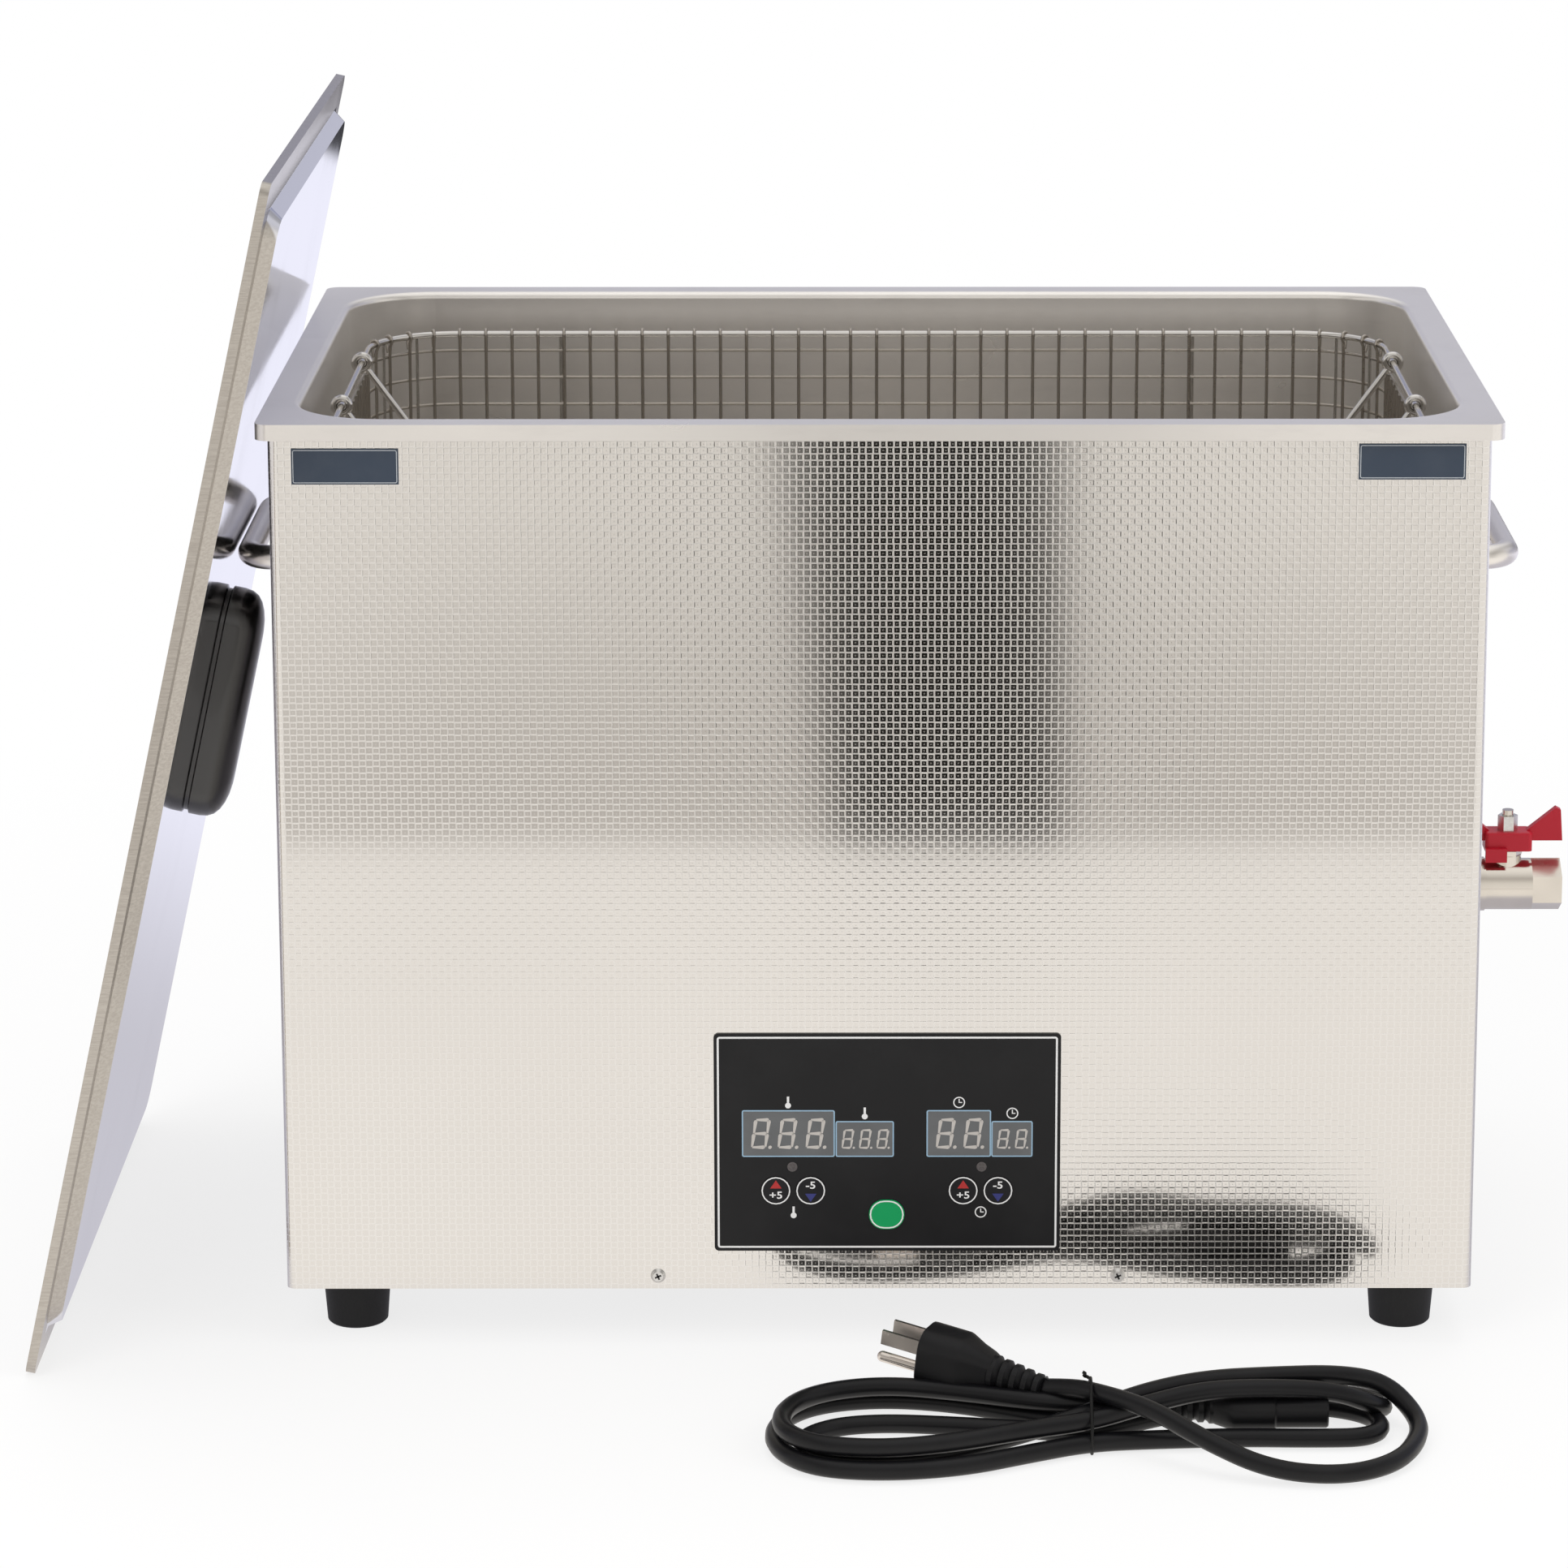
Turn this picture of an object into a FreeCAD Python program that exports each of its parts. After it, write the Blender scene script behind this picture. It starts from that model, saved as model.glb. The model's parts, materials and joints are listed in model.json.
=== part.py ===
import FreeCAD, Part
import math
import os
import re
import Sketcher
from FreeCAD import Placement, Rotation, Vector

# A bench-top ultrasonic cleaner of about 30 litres: a drawn steel tank in a sheet-metal casing, with its lid leaning
# on the left side, a wire basket in the tank, a drain valve on the right and its detached mains cord in front.
# Millimetres. X runs to the right, Y to the back and Z up. The origin is on the bench, midway between the four feet.

SIZES = [
    ("tank_length", 500, "inside length of the tank"),
    ("tank_width", 300, "inside width of the tank"),
    ("tank_depth", 200, "inside depth of the tank"),
    ("tank_corner", 38, "inside radius of the tank's upright corners"),
    ("tank_hollow", 18, "inside radius between the tank's walls and floor"),
    ("tank_wall", 1.2, "thickness of the drawn tank"),
    ("rim_top", 414, "height of the rim over the bench"),
    ("rim_flange", 15, "from the tank's inside wall to the rim's outer edge"),
    ("rim_lip", 7, "depth of the rim's turned-down lip"),
    ("rim_corner", 6, "outer radius of the rim's corners"),
    ("rim_bend", 3, "radius of the bend from the rim into the tank"),
    ("casing_length", 520, "outer length of the casing"),
    ("casing_width", 320, "outer width of the casing"),
    ("casing_bend", 4, "outer radius of the casing's upright bends"),
    ("casing_return", 15, "width of the casing's turned-in rear edges"),
    ("gauge", 1, "thickness of the casing sheets"),
    ("skin_gap", 0.2, "play between the base plate and the casing around it"),
    ("base_lip", 14, "height of the base plate's turned-up edge"),
    ("foot_height", 26, "height of the rubber feet"),
    ("foot_top", 15.5, "radius of a foot where it meets the base plate"),
    ("foot_sole", 13.5, "radius of a foot on the bench"),
    ("foot_socket", 6.5, "radius of the recess for a foot's screw"),
    ("foot_socket_depth", 14, "depth of the recess for a foot's screw"),
    ("foot_inset", 28, "from the casing's side to a foot's middle"),
    ("foot_inset_back", 32, "from the casing's front or back to a foot's middle"),
    ("handle_height", 331, "height of the carrying handles"),
    ("handle_bar", 5.5, "radius of the carrying handles' bar"),
    ("handle_reach", 27, "from the casing to the outside of a carrying handle"),
    ("handle_half", 55, "half the distance between a carrying handle's legs"),
    ("handle_bend", 13, "middle radius of a carrying handle's bends"),
    ("stud", 3, "radius of the threaded studs"),
    ("stud_hole", 3.2, "radius of the holes for the studs"),
    ("stud_length", 6.5, "length of a carrying handle's stud"),
    ("drain_height", 163, "height of the drain's axis"),
    ("drain_x", 210, "from the middle to the drain hole in the tank's floor"),
    ("drain_bore", 7, "radius of the drain's passage"),
    ("pipe_outer", 8.2, "outer radius of the drain pipe"),
    ("elbow_bend", 20, "middle radius of the drain elbow"),
    ("valve_start", 261.5, "where the valve body begins along X"),
    ("valve_split", 302, "where the valve's hexagon end begins along X"),
    ("valve_end_x", 315.5, "where the valve ends along X"),
    ("valve_outer", 11.9, "outer radius of the valve body"),
    ("valve_chamber", 9.4, "radius of the ball's chamber"),
    ("valve_port", 6.5, "radius of the valve's passage"),
    ("outlet_bore", 7.475, "radius of the outlet's threaded bore"),
    ("outlet_depth", 11, "length of the outlet's threaded bore"),
    ("ball", 8.7, "radius of the valve's ball"),
    ("stem_x", 291, "where the valve's stem stands along X"),
    ("stem", 3.4, "radius of the valve's stem"),
    ("stem_play", 0.05, "play around the valve's stem"),
    ("panel_x", 3.4, "middle of the control panel along X"),
    ("panel_z", 93.5, "height of the control panel's middle"),
    ("panel_length", 151, "length of the control panel"),
    ("panel_height", 99.5, "height of the control panel"),
    ("panel_skin", 0.8, "thickness of the control panel's front sheet"),
    ("key_hole", 6.6, "radius of the holes for the round keys"),
    ("key_play", 0.2, "play around a key"),
    ("key_travel", 0.5, "how far a key can be pressed"),
    ("board_gap", 11.4, "from the casing's front sheet to the control board"),
    ("board", 1.6, "thickness of the circuit boards"),
    ("fan_x", 130, "middle of the fan along X"),
    ("fan_z", 105, "height of the fan's axis"),
    ("fan_side", 80, "side of the fan's square frame"),
    ("fan_depth", 25, "depth of the fan's frame"),
    ("fan_bore", 38, "radius of the fan's duct"),
    ("inlet_x", -150, "middle of the mains inlet along X"),
    ("inlet_z", 80, "height of the mains inlet"),
    ("transducer_pitch_x", 90, "distance between transducers along X"),
    ("transducer_pitch_y", 150, "distance between the two rows of transducers"),
    ("front_mass", 22, "height of a transducer's front mass"),
    ("piezo_ring", 5, "thickness of a piezo ring"),
    ("electrode", 0.5, "thickness of the electrode between the rings"),
    ("back_mass", 22, "height of a transducer's back mass"),
    ("lid_length", 534, "length of the lid"),
    ("lid_width", 334, "width of the lid"),
    ("lid_skirt", 4, "height of the lid's turned-down edge"),
    ("lid_border", 14, "width of the lid's low border"),
    ("lid_rise", 5.5, "how far the lid's middle stands over its border"),
    ("lid_slope", 35, "draft of the wall around the lid's raised middle, in degrees"),
    ("lid_gauge", 1, "thickness of the lid"),
    ("lid_lean", 12.4, "how far the lid leans from upright, in degrees"),
    ("lid_y", -32, "middle of the leaning lid along Y"),
    ("lid_gap", 0.6, "gap between the leaning lid and the carrying handle"),
    ("grip_length", 108, "length of the lid's handle"),
    ("grip_width", 32, "width of the lid's handle"),
    ("grip_height", 18.5, "height of the lid's handle"),
    ("basket_length", 477, "length of the basket, between the middles of its rim wires"),
    ("basket_width", 244, "width of the basket, between the middles of its rim wires"),
    ("basket_rim", 399, "height of the basket's rim wire"),
    ("basket_floor", 224, "height of the basket's floor"),
    ("basket_corner", 40, "middle radius of the basket's corners"),
    ("rim_wire", 1.5, "radius of the basket's rim wire"),
    ("mesh_wire", 1.5, "thickness of the basket's mesh"),
    ("mesh_pitch", 24.8, "distance between every second wire of the mesh"),
    ("hoop_x", 150, "where the basket's hoops stand along X"),
    ("bail_wire", 1.6, "radius of the basket handles' wire"),
    ("bail_half", 50.4, "half the distance between a basket handle's legs"),
    ("bail_length", 212, "from a basket handle's pivot to its grip"),
    ("bail_eye", 3.5, "middle radius of the eyes of a basket handle"),
    ("bail_drop", 36, "angle of a resting basket handle from hanging, in degrees"),
    ("cord", 4, "radius of the mains cord"),
]

doc = FreeCAD.newDocument("UltrasonicCleaner")
sheet = doc.addObject("Spreadsheet::Sheet", "Sizes")
for row, (alias, amount, meaning) in enumerate(SIZES, start=1):
    sheet.set(f"A{row}", meaning)
    sheet.set(f"B{row}", str(amount))
    sheet.setAlias(f"B{row}", alias)
doc.recompute()

ALIASES = {alias for alias, _, _ in SIZES}
ALONG_X = Rotation(Vector(0, 1, 0), 90)
ALONG_Y = Rotation(Vector(1, 0, 0), -90)
UPRIGHT = Rotation()
parts = []


# ---- drawing helpers ------------------------------------------------------------------------------------------------


def formula(text):
    """The text with every size's alias turned into a reference to its cell."""
    return re.sub(r"[a-z][a-z_]*", lambda word: f"Sizes.{word[0]}" if word[0] in ALIASES else word[0], str(text))


def worth(text):
    """The present value of a formula, as a number."""
    return float(sheet.evalExpression(formula(text)))


def bind(thing, formulas):
    """Ties each named property of a document object to its formula."""
    for name, text in formulas.items():
        thing.setExpression(name, formula(text))
    return thing


def put(thing, x=0, y=0, z=0, turn=UPRIGHT):
    """Turns an object and ties its position to three formulas."""
    thing.Placement = Placement(Vector(), turn)
    return bind(thing, {"Placement.Base.x": x, "Placement.Base.y": y, "Placement.Base.z": z})


def keep(thing, node):
    """Makes an object one of the cleaner's pieces, under its own name."""
    thing.Label = node
    parts.append(thing)
    return thing


def block(x, y, z, length, width, height):
    """A box from its low corner and its three edges."""
    box = bind(doc.addObject("Part::Box", "Block"), {"Length": length, "Width": width, "Height": height})
    return put(box, x, y, z)


def rod(radius, length, x, y, z, turn=UPRIGHT):
    """A cylinder whose axis starts at a point."""
    cylinder = bind(doc.addObject("Part::Cylinder", "Rod"), {"Radius": radius, "Height": length})
    return put(cylinder, x, y, z, turn)


def cone(low, high, length, x, y, z, turn=UPRIGHT):
    """A truncated cone whose axis starts at a point."""
    thing = bind(doc.addObject("Part::Cone", "Taper"), {"Radius1": low, "Radius2": high, "Height": length})
    return put(thing, x, y, z, turn)


def sphere(radius, x, y, z):
    """A ball about a point."""
    return put(bind(doc.addObject("Part::Sphere", "Ball"), {"Radius": radius}), x, y, z)


def hexagon(flats, length, x, y, z, turn=UPRIGHT):
    """A hexagonal bar, by its width across flats."""
    prism = doc.addObject("Part::Prism", "Hexagon")
    prism.Polygon = 6
    bind(prism, {"Circumradius": f"({flats}) / 2 / cos(30)", "Height": length})
    return put(prism, x, y, z, turn)


def bend(major, minor, x, y, z, turn=UPRIGHT, sweep=90):
    """A piece of a ring, from its own X axis towards its own Y axis."""
    ring = bind(doc.addObject("Part::Torus", "Bend"), {"Radius1": major, "Radius2": minor})
    ring.Angle3 = sweep
    return put(ring, x, y, z, turn)


def fuse(*things):
    """One solid of several that touch or overlap."""
    union = doc.addObject("Part::MultiFuse", "Union")
    union.Shapes = list(things)
    return union


def cut(base, *tools):
    """A solid less others."""
    remains = doc.addObject("Part::Cut", "Remainder")
    remains.Base = base
    remains.Tool = tools[0] if len(tools) == 1 else fuse(*tools)
    return remains


def together(*things):
    """Several separate solids as one piece's shape."""
    group = doc.addObject("Part::Compound", "Group")
    group.Links = list(things)
    return group


def collar(outer, inner, length, x, y, z, turn=UPRIGHT):
    """A round tube whose axis starts at a point."""
    return cut(rod(outer, length, x, y, z, turn), rod(inner, length, x, y, z, turn))


def new_body(node):
    """A PartDesign body that is one of the pieces."""
    return keep(doc.addObject("PartDesign::Body", node), node)


def draw(body, role, lift=0, up=0):
    """A sketch on one of the body's own planes, moved along the plane's normal and up in the plane."""
    sketch = body.newObject("Sketcher::SketchObject", "Outline")
    plane = next(item for item in body.Origin.OriginFeatures if item.Role == role)
    sketch.AttachmentSupport = (plane, [""])
    sketch.MapMode = "FlatFace"
    return bind(sketch, {"AttachmentOffset.Base.z": lift, "AttachmentOffset.Base.y": up})


def pin(sketch, element, end, x, y):
    """Ties a point of a sketch to two formulas."""
    for kind, text in (("DistanceX", x), ("DistanceY", y)):
        number = sketch.addConstraint(Sketcher.Constraint(kind, -1, 1, element, end, worth(text)))
        sketch.setExpression(f"Constraints[{number}]", formula(text))


def tie(sketch, kind, element, text):
    """Ties one measure of a sketch's element to a formula."""
    number = sketch.addConstraint(Sketcher.Constraint(kind, element, worth(text)))
    sketch.setExpression(f"Constraints[{number}]", formula(text))


def polygon(sketch, corners):
    """A closed outline of straight edges, by its corners."""
    points = [Vector(worth(x), worth(y), 0) for x, y in corners]
    edges = []
    for start, end in zip(points, points[1:] + points[:1]):
        edges.append(sketch.addGeometry(Part.LineSegment(start, end)))
    for edge, following, (x, y) in zip(edges, edges[1:] + edges[:1], corners):
        sketch.addConstraint(Sketcher.Constraint("Coincident", edge, 2, following, 1))
        pin(sketch, edge, 1, x, y)
    return sketch


def circle(sketch, x, y, radius):
    """A circle by its middle and radius."""
    ring = sketch.addGeometry(Part.Circle(Vector(worth(x), worth(y), 0), Vector(0, 0, 1), worth(radius)))
    pin(sketch, ring, 3, x, y)
    tie(sketch, "Radius", ring, radius)
    return sketch


def rounded(sketch, x, y, length, height, corner):
    """A rectangle with round corners, by its middle, its sides and the corners' radius."""
    left, right = f"({x}) - ({length}) / 2", f"({x}) + ({length}) / 2"
    low, high = f"({y}) - ({height}) / 2", f"({y}) + ({height}) / 2"
    inset = f"({corner})"
    ends = [
        ((f"{left} + {inset}", low), (f"{right} - {inset}", low), (f"{right} - {inset}", f"{low} + {inset}")),
        ((right, f"{low} + {inset}"), (right, f"{high} - {inset}"), (f"{right} - {inset}", f"{high} - {inset}")),
        ((f"{right} - {inset}", high), (f"{left} + {inset}", high), (f"{left} + {inset}", f"{high} - {inset}")),
        ((left, f"{high} - {inset}"), (left, f"{low} + {inset}"), (f"{left} + {inset}", f"{low} + {inset}")),
    ]
    sides, arcs = [], []
    for number, (start, end, middle) in enumerate(ends):
        first, second, centre = (Vector(worth(a), worth(b), 0) for a, b in (start, end, middle))
        sides.append(sketch.addGeometry(Part.LineSegment(first, second)))
        turn = math.radians(90 * (number - 1))
        corner_circle = Part.Circle(centre, Vector(0, 0, 1), worth(corner))
        arcs.append(sketch.addGeometry(Part.ArcOfCircle(corner_circle, turn, turn + math.pi / 2)))
    for number, ((x_start, y_start), _, _) in enumerate(ends):
        side, arc, following = sides[number], arcs[number], sides[(number + 1) % 4]
        sketch.addConstraint(Sketcher.Constraint("Tangent", side, 2, arc, 1))
        sketch.addConstraint(Sketcher.Constraint("Tangent", arc, 2, following, 1))
        sketch.addConstraint(Sketcher.Constraint("Horizontal" if number % 2 == 0 else "Vertical", side))
        kind, text = ("DistanceY", y_start) if number % 2 == 0 else ("DistanceX", x_start)
        place = sketch.addConstraint(Sketcher.Constraint(kind, -1, 1, side, 1, worth(text)))
        sketch.setExpression(f"Constraints[{place}]", formula(text))
        if number:
            sketch.addConstraint(Sketcher.Constraint("Equal", arcs[0], arc))
    tie(sketch, "Radius", arcs[0], corner)
    return sketch


def pad(body, sketch, length, backwards=False, draft=None):
    """Adds material on a sketch."""
    feature = body.newObject("PartDesign::Pad", "Pad")
    feature.Profile = sketch
    feature.Reversed = backwards
    bind(feature, {"Length": length} if draft is None else {"Length": length, "TaperAngle": draft})
    doc.recompute()
    return feature


def pocket(body, sketch, depth, backwards=False, draft=None):
    """Takes material away under a sketch, and makes sure that some went."""
    before = body.Shape.Volume
    feature = body.newObject("PartDesign::Pocket", "Pocket")
    feature.Profile = sketch
    feature.Reversed = backwards
    bind(feature, {"Length": depth} if draft is None else {"Length": depth, "TaperAngle": draft})
    doc.recompute()
    if body.Shape.Volume > before - 0.1:
        raise RuntimeError(f"a pocket of {body.Label} cut nothing")
    return feature


def soften(body, feature, edges, radius):
    """Rounds some edges of a feature."""
    fillet = body.newObject("PartDesign::Fillet", "Fillet")
    fillet.Base = (feature, edges)
    bind(fillet, {"Radius": radius})
    doc.recompute()
    return fillet


def level_edges(feature, height, reach=None):
    """The names of the edges that lie level at a height, no further out along X than the reach."""
    names = []
    for number, edge in enumerate(feature.Shape.Edges, start=1):
        box = edge.BoundBox
        level = abs(box.ZMin - worth(height)) < 0.01 and abs(box.ZMax - worth(height)) < 0.01
        if level and (reach is None or max(-box.XMin, box.XMax) < worth(reach) + 0.01):
            names.append(f"Edge{number}")
    return names


def repeat(body, feature, role, count, reach):
    """Repeats a feature along one of the body's own axes."""
    pattern = body.newObject("PartDesign::LinearPattern", "Row")
    pattern.Originals = [feature]
    axis = next(item for item in body.Origin.OriginFeatures if item.Role == role)
    pattern.Direction = (axis, [""])
    pattern.Occurrences = count
    bind(pattern, {"Length": reach})
    body.Tip = pattern
    doc.recompute()
    return pattern


# ---- tank and casing ------------------------------------------------------------------------------------------------

RIM_LENGTH = "tank_length + 2 * rim_flange"
RIM_WIDTH = "tank_width + 2 * rim_flange"
FLOOR_TOP = "rim_top - tank_depth"
FLOOR_UNDER = "rim_top - tank_depth - tank_wall"
FRONT = "-casing_width / 2"
PANEL_CENTRE = ("panel_x", "panel_z")
FRONT_SCREWS = (-97, 104.6)
REAR_SCREW_HEIGHTS = (60, 220, 380)
SCREW_HEIGHT = "foot_height + 6"


def make_tank():
    """The drawn tank, its flat rim and the rim's turned-down lip are one sheet."""
    tank = new_body("tank")
    rim = rounded(draw(tank, "XY_Plane", "rim_top - rim_lip"), 0, 0, RIM_LENGTH, RIM_WIDTH, "rim_corner")
    pad(tank, rim, "rim_lip")
    under = draw(tank, "XY_Plane", "rim_top - rim_lip")
    rounded(under, 0, 0, f"{RIM_LENGTH} - 2 * tank_wall", f"{RIM_WIDTH} - 2 * tank_wall", "rim_corner - tank_wall")
    pocket(tank, under, "rim_lip - tank_wall", backwards=True)
    walls = draw(tank, "XY_Plane", FLOOR_UNDER)
    rounded(walls, 0, 0, "tank_length + 2 * tank_wall", "tank_width + 2 * tank_wall", "tank_corner + tank_wall")
    pad(tank, walls, "tank_depth + tank_wall")
    hollow = rounded(draw(tank, "XY_Plane", "rim_top"), 0, 0, "tank_length", "tank_width", "tank_corner")
    shell = pocket(tank, hollow, "tank_depth")
    shell = soften(tank, shell, level_edges(shell, FLOOR_TOP), "tank_hollow")
    shell = soften(tank, shell, level_edges(shell, FLOOR_UNDER), "tank_hollow + tank_wall")
    shell = soften(tank, shell, level_edges(shell, "rim_top", "tank_length / 2"), "rim_bend")
    under_bend = level_edges(shell, "rim_top - tank_wall", "tank_length / 2 + tank_wall")
    soften(tank, shell, under_bend, "rim_bend - tank_wall")
    drain = circle(draw(tank, "XY_Plane", f"{FLOOR_TOP} + 1"), "drain_x", 0, "drain_bore")
    pocket(tank, drain, "tank_wall + 2")


def make_casing():
    """One sheet bent round the front and both sides, with its rear edges turned in."""
    casing = new_body("casing_wrap")
    outline = draw(casing, "XY_Plane", "foot_height")
    rounded(outline, 0, 0, "casing_length", "casing_width", "casing_bend")
    rounded(outline, 0, 0, "casing_length - 2 * gauge", "casing_width - 2 * gauge", "casing_bend - gauge")
    pad(casing, outline, "rim_top - tank_wall - foot_height")
    back = draw(casing, "XZ_Plane", "10 - casing_width / 2")
    height = "rim_top - tank_wall - foot_height"
    corners = [("casing_return - casing_length / 2", "foot_height"), ("casing_length / 2 - casing_return", "foot_height")]
    corners += [(x, f"foot_height + {height}") for x, _ in reversed(corners)]
    polygon(back, corners)
    for x in (-250, 250):
        for z in REAR_SCREW_HEIGHTS:
            circle(back, x, z, 1.8)
    pocket(casing, back, "20")
    front = draw(casing, "XZ_Plane", "casing_width / 2 - 10")
    rounded(front, "panel_x", "panel_z - 2.5", "panel_length - 19", "panel_height - 18", 4)
    for x in FRONT_SCREWS:
        circle(front, x, SCREW_HEIGHT, 1.8)
    pocket(casing, front, "20", backwards=True)
    right = draw(casing, "YZ_Plane", "casing_length / 2 - 10")
    circle(right, 0, "drain_height", "pipe_outer + 0.1")
    circle(right, "handle_half", "handle_height", "stud_hole")
    circle(right, "-handle_half", "handle_height", "stud_hole")
    pocket(casing, right, "20", backwards=True)
    left = draw(casing, "YZ_Plane", "10 - casing_length / 2")
    circle(left, "handle_half", "handle_height", "stud_hole")
    circle(left, "-handle_half", "handle_height", "stud_hole")
    pocket(casing, left, "20")


def make_rear_panel():
    """The flat sheet that closes the back, with openings for the fan, the mains inlet and the vents."""
    panel = new_body("rear_panel")
    outline = draw(panel, "XZ_Plane", "gauge - casing_width / 2")
    low, high = "foot_height + gauge + skin_gap", "rim_top - tank_wall - skin_gap"
    rounded(outline, 0, f"({low} + {high}) / 2", "casing_length - 10", f"{high} - ({low})", 2)
    circle(outline, "fan_x", "fan_z", "fan_bore")
    for across in (-36, 36):
        for up in (-36, 36):
            circle(outline, f"fan_x + {across}", f"fan_z + {up}", 2.2)
    rounded(outline, "inlet_x", "inlet_z", 28, 46.5, 2)
    for x in (-250, 250):
        for z in REAR_SCREW_HEIGHTS:
            circle(outline, x, z, 1.5)
    pad(panel, outline, "gauge")
    slot = rounded(draw(panel, "XZ_Plane", "10 - casing_width / 2"), -60, 150, 4, 36, 1.9)
    first = pocket(panel, slot, "20")
    repeat(panel, first, "X_Axis", 10, 108)


def make_base_plate():
    """The bottom pan: a flat sheet with vent slots and an edge turned up inside the casing."""
    pan = new_body("base_plate")
    length = "casing_length - 2 * gauge - 2 * skin_gap"
    width = "casing_width - 3 * gauge - 2 * skin_gap"
    middle = "-gauge / 2"
    outline = rounded(draw(pan, "XY_Plane", "foot_height"), 0, middle, length, width, "casing_bend - gauge")
    pad(pan, outline, "gauge")
    edge = draw(pan, "XY_Plane", "foot_height + gauge")
    rounded(edge, 0, middle, length, width, "casing_bend - gauge")
    rounded(edge, 0, middle, f"{length} - 2 * gauge", f"{width} - 2 * gauge", "casing_bend - 2 * gauge")
    pad(pan, edge, "base_lip")
    holes = draw(pan, "XY_Plane", "foot_height + gauge + 1")
    for x, y in foot_places():
        circle(holes, x, y, 2.3)
    pocket(pan, holes, "gauge + 2")
    slot = rounded(draw(pan, "XY_Plane", "foot_height + gauge + 1"), -108, -90, 4, 40, 1.9)
    repeat(pan, pocket(pan, slot, "gauge + 2"), "X_Axis", 19, 216)
    screws = draw(pan, "XZ_Plane", "casing_width / 2 - 10")
    for x in FRONT_SCREWS:
        circle(screws, x, SCREW_HEIGHT, 1.5)
    pocket(pan, screws, "9.5", backwards=True)


def foot_places():
    """The middles of the four feet."""
    x, y = "(casing_length / 2 - foot_inset)", "(casing_width / 2 - foot_inset_back)"
    return [(f"{across} * {x}", f"{along} * {y}") for across in (-1, 1) for along in (-1, 1)]


def make_feet():
    """Four tapered rubber feet, each with a recess for its screw."""
    feet = []
    for x, y in foot_places():
        taper = cone("foot_sole", "foot_top", "foot_height", x, y, 0)
        socket = rod("foot_socket", "foot_socket_depth", x, y, 0)
        feet.append(cut(taper, socket, rod(2.4, "foot_height", x, y, 0)))
    keep(together(*feet), "rubber_feet")


def make_casing_screws():
    """The casing's screws: two at the front, six in the rear edges and one sunk in each foot."""
    screws = []
    for x, y in foot_places():
        head = rod(4.5, 3, x, y, "foot_socket_depth - 3")
        screws.append(fuse(head, rod(2.1, "foot_height - foot_socket_depth + 6", x, y, "foot_socket_depth")))
    for x in FRONT_SCREWS:
        head = cone(2.2, 3.3, 1.6, x, f"{FRONT} - 1.6", SCREW_HEIGHT, ALONG_Y)
        screws.append(fuse(head, rod(1.45, 6, x, FRONT, SCREW_HEIGHT, ALONG_Y)))
    for x in (-250, 250):
        for z in REAR_SCREW_HEIGHTS:
            head = cone(3.3, 2.2, 1.6, x, "casing_width / 2", z, ALONG_Y)
            screws.append(fuse(head, rod(1.45, 6, x, "casing_width / 2 - 6", z, ALONG_Y)))
    keep(together(*screws), "casing_screws")


def make_label_plates():
    """Two thin bare plates at the top corners of the front."""
    plates = []
    for x, z in ((-227, 395), (226, 397)):
        plates.append(block(x - 22.75, f"{FRONT} - 0.5", z - 7.75, 45.5, 0.5, 15.5))
    keep(together(*plates), "label_plates")


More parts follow.
